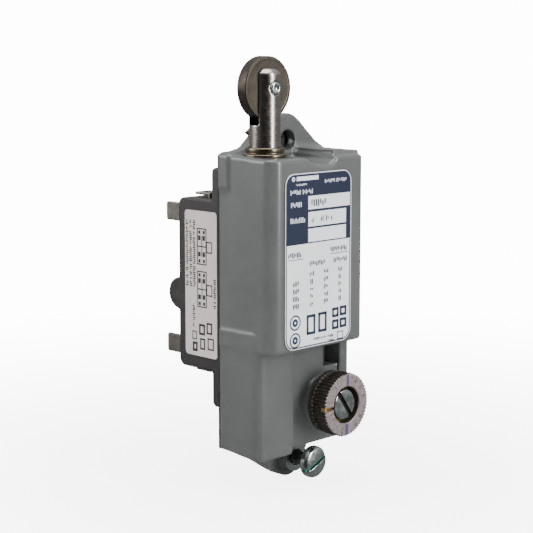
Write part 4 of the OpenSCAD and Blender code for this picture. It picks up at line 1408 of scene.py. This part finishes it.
@dataclass
class SnapSwitch:
    """The black moulded switch behind the gasket, with its label and terminals."""

    x0: float = -32.15
    split: float = -16.65
    x1: float = -14.15
    front: float = -1.2
    flange_back: float = 5.9
    back: float = 26.3
    flange: tuple[float, float] = (-42.5, 57.1)
    body: tuple[float, float] = (-27.9, 43.6)
    button_z: float = 2.7
    boss: float = 6.7
    screws: tuple[float, float] = (-35.3, 50.5)
    rng: np.random.Generator = field(default_factory=lambda: np.random.default_rng(11))

    def outline(self, p: Array) -> Array:
        """Side view of the case: flange, body and half-round boss, with small fillets between."""
        y, z = p[..., 1], p[..., 2]
        flange = sd_rect(y, z, (self.front - 9, self.flange[0]), (self.flange_back, self.flange[1]), 2.4)
        body = sd_rect(y, z, (self.front - 9, self.body[0]), (self.back, self.body[1]), 3.2)
        boss = np.hypot(y - self.back, z - self.button_z) - self.boss
        shape = smooth_min(smooth_min(flange, body, 1.2), boss, 1.4)
        return np.maximum(shape, self.front - y)

    def half(self, p: Array, lo: float, hi: float) -> Array:
        """One half of the case between two planes of x, with its slots and screw wells cut."""
        x, y, z = p[..., 0], p[..., 1], p[..., 2]
        shape = sd_slab(self.outline(p), x, lo, hi, 0.45)
        hollow = sd_slab(
            sd_rect(y, z, (1.8, self.body[0] + 2), (self.back - 2, self.body[1] - 2), 1),
            x, self.x0 + 2, self.split, 0,
        )
        shape = carve(shape, hollow, 0)
        for mid in self.screws:
            flat = np.hypot(x + 23.15, z - mid)
            shape = carve(shape, np.maximum(flat - 4.0, 2.7 - y), 0.5)
            shape = carve(shape, flat - 2.2, 0)
        for mid in (36.4, -20.7):
            slot = sd_box(p, (-27.3, 20, mid - 4.1), (-25.9, 50, mid + 4.1), 0)
            shape = carve(shape, slot, 0.4)
        strap = sd_box(p, (-27.2, 12.35, -60), (-19.1, 13.65, 80), 0)
        shape = carve(shape, strap, 0.3)
        for y0, z0 in ((2.4, 45.2), (2.4, -30), (22.7, 13.2), (22.7, -7.8)):
            reach = np.hypot(y - y0, z - z0)
            shape = carve(shape, np.maximum(reach - 2.45 - (x - self.x1), self.x1 - 1.3 - x), 0.1)
            shape = carve(shape, np.maximum(reach - 1.25, self.x0 + 6 - x), 0)
        return shape

    def build(self) -> None:
        """Makes the case halves, label, terminals and fixing screws."""
        lo, hi = (self.x0, self.front, self.flange[0]), (self.split, self.back + self.boss, self.flange[1])
        case = skin(
            "switch_case_moulded", lambda p: self.half(p, self.x0, self.split), lo, hi, 0.55, sharp=45
        )
        keep(dress(case, PHENOLIC), "head", "phenolic", "switch_case")
        lo, hi = (self.split, self.front, self.flange[0]), (self.x1, self.back + self.boss, self.flange[1])
        cover = skin(
            "switch_cover_moulded", lambda p: self.half(p, self.split, self.x1), lo, hi, 0.5, sharp=45
        )
        keep(dress(cover, PHENOLIC), "head", "phenolic", "switch_cover")
        self.make_label()
        self.make_terminals()
        self.make_fixings()

    def make_label(self) -> None:
        """The paper label on the left side with two contact diagrams and wordless print."""
        outline = corner_rect((2.6, -22.4), (22.1, 38.7), 1.5, 6)
        sheet = slab("switch_label_sheet", outline, (1, 2), self.x0 - 0.26, self.x0, 0.05)
        keep(dress(sheet, SIDE_PAPER), "head", "side_label", "switch_label")
        face = self.x0 - 0.26
        out = []
        for z0 in (16.3, -1.6):
            out += self.diagram(face, 8.8, z0)
        for y in (20.0, 17.8, 15.6):
            out += self.lines_down(face, y, 34.6, 28.5, 1.55)
        out += self.lines_down(face, 3.2, 11.0, 12.6, 1.5)
        out += self.lines_down(face, 16.0, -1.2, 9.6, 1.6)
        out += self.marks_low(face)
        ink = plates("switch_label_print", out)
        keep(dress(ink, SIDE_INK), "head", "side_label")

    def frame(self, face: float, y0: float, z0: float, y1: float, z1: float, line: float) -> Boxes:
        """Four printed strips round a rectangle."""
        return [
            self.patch(face, y0, z0, y0 + line, z1), self.patch(face, y1 - line, z0, y1, z1),
            self.patch(face, y0, z0, y1, z0 + line), self.patch(face, y0, z1 - line, y1, z1),
        ]

    def marks_low(self, face: float) -> Boxes:
        """Plain frames and blocks at the label's foot."""
        out = self.frame(face, 15.0, -15.6, 17.8, -12.0, 0.45)
        out += self.frame(face, 10.0, -13.2, 13.6, -8.6, 0.9)
        out += self.frame(face, 10.0, -19.4, 13.0, -14.6, 0.7)
        out += self.frame(face, 14.6, -20.6, 17.6, -16.6, 1.0)
        out += self.frame(face, 5.6, -12.4, 9.0, -7.6, 0.75)
        out += self.frame(face, 4.6, -19.0, 8.4, -14.0, 0.6)
        return out

    def patch(self, face: float, y0: float, z0: float, y1: float, z1: float) -> tuple[tuple, tuple]:
        """Corners of one thin printed patch on the label."""
        return (face - 0.03, y0, z0), (face, y1, z1)

    def lines_down(self, face: float, y: float, top: float, length: float, size: float) -> Boxes:
        """A line of small blocks that reads down the label."""
        out, pitch, thick = [], 0.52 * size, 0.34 * size
        for k in range(int(length / pitch)):
            if self.rng.uniform() < 0.1:
                continue
            at = top - k * pitch
            start = y + size * float(self.rng.choice([0.0, 0.0, 0.28]))
            stop = y + size * float(self.rng.choice([0.78, 1.0]))
            out.append(self.patch(face, start, at - thick, stop, at))
        return out

    def diagram(self, face: float, y: float, z: float) -> Boxes:
        """One contact diagram: a frame, four bold dots, the link between them and a small frame beside it."""
        wide, tall = 5.8, 15.3
        out = self.frame(face, y, z, y + wide, z + tall, 0.5)
        out += self.frame(face, y - 3.4, z + 5.2, y + 0.2, z + 10.0, 0.5)
        for dy in (0.9, 3.6):
            for dz in (3.4, 10.2):
                out.append(self.patch(face, y + dy, z + dz, y + dy + 1.5, z + dz + 2.0))
        out.append(self.patch(face, y + 2.7, z + 3.6, y + 3.1, z + 12.0))
        out.append(self.patch(face, y + 0.5, z + 7.4, y + 5.3, z + 7.9))
        for dz in (0.9, 12.9):
            out += [self.patch(face, y + dy, z + dz, y + dy + 1.2, z + dz + 1.4) for dy in (1.0, 3.7)]
        return out

    def make_terminals(self) -> None:
        """The two drilled straps and the two plain blades, with rounded edges."""
        for node, side in (("terminal_front_top", 1), ("terminal_front_bottom", -1)):
            inner = self.button_z + side * 17
            end = self.body[1] + 1 if side > 0 else self.body[0] - 1
            tab = (end, end + 1.2) if side > 0 else (end - 1.2, end)
            strap_lo = (-27.15, 12.4, min(inner, tab[0]))
            strap_hi = (-19.15, 13.6, max(inner, tab[1]))
            tab_lo, tab_hi = (-27.15, 12.4, tab[0]), (-19.15, 21.4, tab[1])

            def strap(p: Array, a=strap_lo, b=strap_hi, c=tab_lo, d=tab_hi) -> Array:
                """The bent strap less its hole."""
                flat = np.minimum(sd_box(p, a, b, 0.3), sd_box(p, c, d, 0.3))
                hole = np.maximum(np.hypot(p[..., 0] + 23.15, p[..., 1] - 17.4) - 1.9, c[2] - 2 - p[..., 2])
                hole = np.maximum(hole, p[..., 2] - d[2] - 2)
                return carve(flat, hole, 0.2)

            low = np.minimum(strap_lo, tab_lo)
            high = np.maximum(strap_hi, tab_hi)
            piece = skin(f"{node}_strap", strap, low, high, 0.3)
            keep(dress(piece, TERMINAL), "head", "terminal_plate", node)
        for node, side, mid in (("terminal_rear_top", 1, 36.4), ("terminal_rear_bottom", -1, -20.7)):
            inner = self.button_z + side * 17
            cross_lo = (-27.2, 21.2, min(inner, mid - 4))
            cross_hi = (-19.65, 22.4, max(inner, mid + 4))
            blade_lo, blade_hi = (-27.2, 21.2, mid - 4), (-26.0, 39.8, mid + 4)

            def blade(p: Array, a=cross_lo, b=cross_hi, c=blade_lo, d=blade_hi) -> Array:
                """The cross strap and the blade, whose free corners are cut round."""
                corner = sd_rect(p[..., 1], p[..., 2], (c[1], c[2]), (d[1], d[2]), 1.0)
                return np.minimum(sd_box(p, a, b, 0.3), sd_slab(corner, p[..., 0], c[0], d[0], 0.3))

            lowest, highest = np.minimum(cross_lo, blade_lo), np.maximum(cross_hi, blade_hi)
            piece = skin(f"{node}_blade", blade, lowest, highest, 0.3)
            keep(dress(piece, TERMINAL), "head", "terminal_plate", node)

    def make_fixings(self) -> None:
        """The two screws in the flange's wells, whose slots are thin near-black strips of painted shade."""
        parts = []
        for z in self.screws:
            profile = [
                (0, 5.7), (2.6, 5.7), (3.3, 5.2), (3.5, 4.6), (3.5, 3.5), (2, 3.5), (2, -7.2), (0, -7.2),
            ]
            body = lathe("flange_screw", Axis((-23.15, 0, z), 1), np.array(profile), 48, closed=False)
            parts.append(body)
        whole = join("flange_screws_turned", parts)
        keep(dress(whole, ZINC), "head", "zinc_plate", "flange_screws")
        # Painted shade: each screw's slot is a thin near-black strip laid on its head.
        groove = [((-26.3, 5.65, z - 0.35), (-20.0, 5.76, z + 0.35)) for z in self.screws]
        slots = plates("flange_screw_slots", groove)
        keep(dress(slots, SLOT_SHADE), "head", "zinc_plate")


@dataclass
class Studio:
    """Camera, lights and floor."""

    aim: tuple[float, float, float] = (-5.49, 0.88, 22.98)
    azimuth: float = -44.811
    elevation: float = 7.964
    distance: float = 596.1
    lens: float = 95.77
    shift: float = -0.04
    white: float = 14.0
    room: tuple[float, float] = (0.20, 0.80)
    viewer: tuple[float, float, float] = (-0.70, -0.70, 0.14)
    viewer_shade: tuple[float, float, float, float] = (0.35, 0.95, 1.0, 0.12)

    @staticmethod
    def map_range(node: bpy.types.Node, low: float, high: float, at_low: float, at_high: float) -> None:
        """Sets the four ends of a Map Range node."""
        names = ("From Min", "From Max", "To Min", "To Max")
        for name, value in zip(names, (low, high, at_low, at_high)):
            node.inputs[name].default_value = value

    def camera(self) -> None:
        """Places the camera on its line of sight to the aim."""
        a, e = math.radians(self.azimuth), math.radians(self.elevation)
        back = Vector((math.sin(a) * math.cos(e), -math.cos(a) * math.cos(e), math.sin(e)))
        data = bpy.data.cameras.new("camera")
        data.lens, data.sensor_width, data.shift_y = self.lens, 36.0, self.shift
        data.clip_start, data.clip_end = 0.01, 20
        cam = bpy.data.objects.new("camera", data)
        cam.location = (Vector(self.aim) + back * self.distance) * MM
        cam.rotation_mode = "QUATERNION"
        cam.rotation_quaternion = (-back).to_track_quat("-Z", "Y")
        bpy.context.scene.collection.objects.link(cam)
        bpy.context.scene.camera = cam

    def lamp(self, name: str, place: Sequence[float], size: tuple[float, float], power: float) -> None:
        """A rectangular soft light that faces the object: width and height in metres, power in watts."""
        look = (0.0, 0.0, 0.02)
        data = bpy.data.lights.new(name, "AREA")
        data.shape = "RECTANGLE"
        data.energy, data.size, data.size_y = power, *size
        lamp = bpy.data.objects.new(name, data)
        lamp.location = Vector(place)
        lamp.rotation_mode = "QUATERNION"
        lamp.rotation_quaternion = (Vector(look) - Vector(place)).to_track_quat("-Z", "Y")
        bpy.context.scene.collection.objects.link(lamp)

    def lights(self) -> None:
        """A tall front soft box, one behind on the left, one overhead, and a dim room that looks white."""
        self.lamp("front_box", (0.20, -0.95, 0.36), (0.20, 0.86), 12)
        self.lamp("left_box", (-0.80, 0.55, 0.40), (0.50, 0.70), 7)
        self.lamp("overhead", (-0.10, -0.05, 0.95), (0.80, 0.80), 10)
        world = bpy.data.worlds.new("room")
        world.use_nodes = True
        nodes, links = world.node_tree.nodes, world.node_tree.links
        dim = nodes["Background"]
        bright, mix = nodes.new("ShaderNodeBackground"), nodes.new("ShaderNodeMixShader")
        seen, place = nodes.new("ShaderNodeLightPath"), nodes.new("ShaderNodeTexCoord")
        split, fade = nodes.new("ShaderNodeSeparateXYZ"), nodes.new("ShaderNodeMapRange")
        bright.inputs["Color"].default_value = (1, 1, 1, 1)
        bright.inputs["Strength"].default_value = self.white
        dim.inputs["Color"].default_value = (0.97, 0.98, 1.0, 1)
        self.map_range(fade, -0.15, 0.75, *self.room)
        near, shade = nodes.new("ShaderNodeVectorMath"), nodes.new("ShaderNodeMapRange")
        dimmer = nodes.new("ShaderNodeMath")
        near.operation, dimmer.operation = "DOT_PRODUCT", "MULTIPLY"
        near.inputs[1].default_value = self.viewer
        self.map_range(shade, *self.viewer_shade)
        links.new(place.outputs["Generated"], split.inputs["Vector"])
        links.new(place.outputs["Generated"], near.inputs[0])
        links.new(near.outputs["Value"], shade.inputs["Value"])
        links.new(split.outputs["Z"], fade.inputs["Value"])
        links.new(fade.outputs["Result"], dimmer.inputs[0])
        links.new(shade.outputs["Result"], dimmer.inputs[1])
        links.new(dimmer.outputs["Value"], dim.inputs["Strength"])
        links.new(seen.outputs["Is Camera Ray"], mix.inputs["Fac"])
        links.new(dim.outputs["Background"], mix.inputs[1])
        links.new(bright.outputs["Background"], mix.inputs[2])
        links.new(mix.outputs["Shader"], nodes["World Output"].inputs["Surface"])
        bpy.context.scene.world = world

    def floor(self) -> None:
        """A pale disc under the lowest point, which fades into the white of the room."""
        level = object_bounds()[0].z - 0.0005
        turn = np.linspace(0, 2 * math.pi, 96, endpoint=False)
        ring = np.stack([4000 * np.cos(turn), 4000 * np.sin(turn), np.full(96, level / MM)], 1)
        disc = new_object("floor", ring, [list(range(96))], 30)
        disc.visible_glossy = False
        tone = bpy.data.materials.new("pale_floor")
        tone.use_nodes = True
        nodes, links = tone.node_tree.nodes, tone.node_tree.links
        paper = nodes["Principled BSDF"]
        paper.inputs["Base Color"].default_value = (0.9, 0.9, 0.9, 1)
        paper.inputs["Roughness"].default_value = 0.9
        glow, mix = nodes.new("ShaderNodeEmission"), nodes.new("ShaderNodeMixShader")
        place, far = nodes.new("ShaderNodeTexCoord"), nodes.new("ShaderNodeVectorMath")
        fade, seen = nodes.new("ShaderNodeMapRange"), nodes.new("ShaderNodeLightPath")
        only = nodes.new("ShaderNodeMath")
        only.operation, far.operation, fade.interpolation_type = "MULTIPLY", "LENGTH", "SMOOTHSTEP"
        glow.inputs["Strength"].default_value = self.white
        fade.inputs["From Min"].default_value = 0.05
        fade.inputs["From Max"].default_value = 0.45
        fade.inputs["To Min"].default_value = 0.35
        links.new(place.outputs["Object"], far.inputs[0])
        links.new(far.outputs["Value"], fade.inputs["Value"])
        links.new(fade.outputs["Result"], only.inputs[0])
        links.new(seen.outputs["Is Camera Ray"], only.inputs[1])
        links.new(only.outputs["Value"], mix.inputs["Fac"])
        links.new(paper.outputs["BSDF"], mix.inputs[1])
        links.new(glow.outputs["Emission"], mix.inputs[2])
        links.new(mix.outputs["Shader"], nodes["Material Output"].inputs["Surface"])
        disc.data.materials.append(tone)
        disc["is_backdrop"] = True


def dress_frame() -> None:
    """Gives every node that stays as the frame has it the finish of its slot."""
    for row in frame["record"]["subparts"]:
        node = frame["nodes"][row["node"]]
        dress(node, BY_SLOT[row["material_slot"]])


def main() -> None:
    """Builds the studio and every sub-assembly in order."""
    logging.basicConfig(level=logging.INFO, format="%(name)s: %(message)s")
    studio = Studio()
    studio.camera()
    studio.lights()
    dress_frame()
    for assembly in (CastHead(), Nameplate(), Plunger(), TripDial(), LowerScrew(), SnapSwitch()):
        assembly.build()
    studio.floor()


if __name__ == "__main__":
    main()
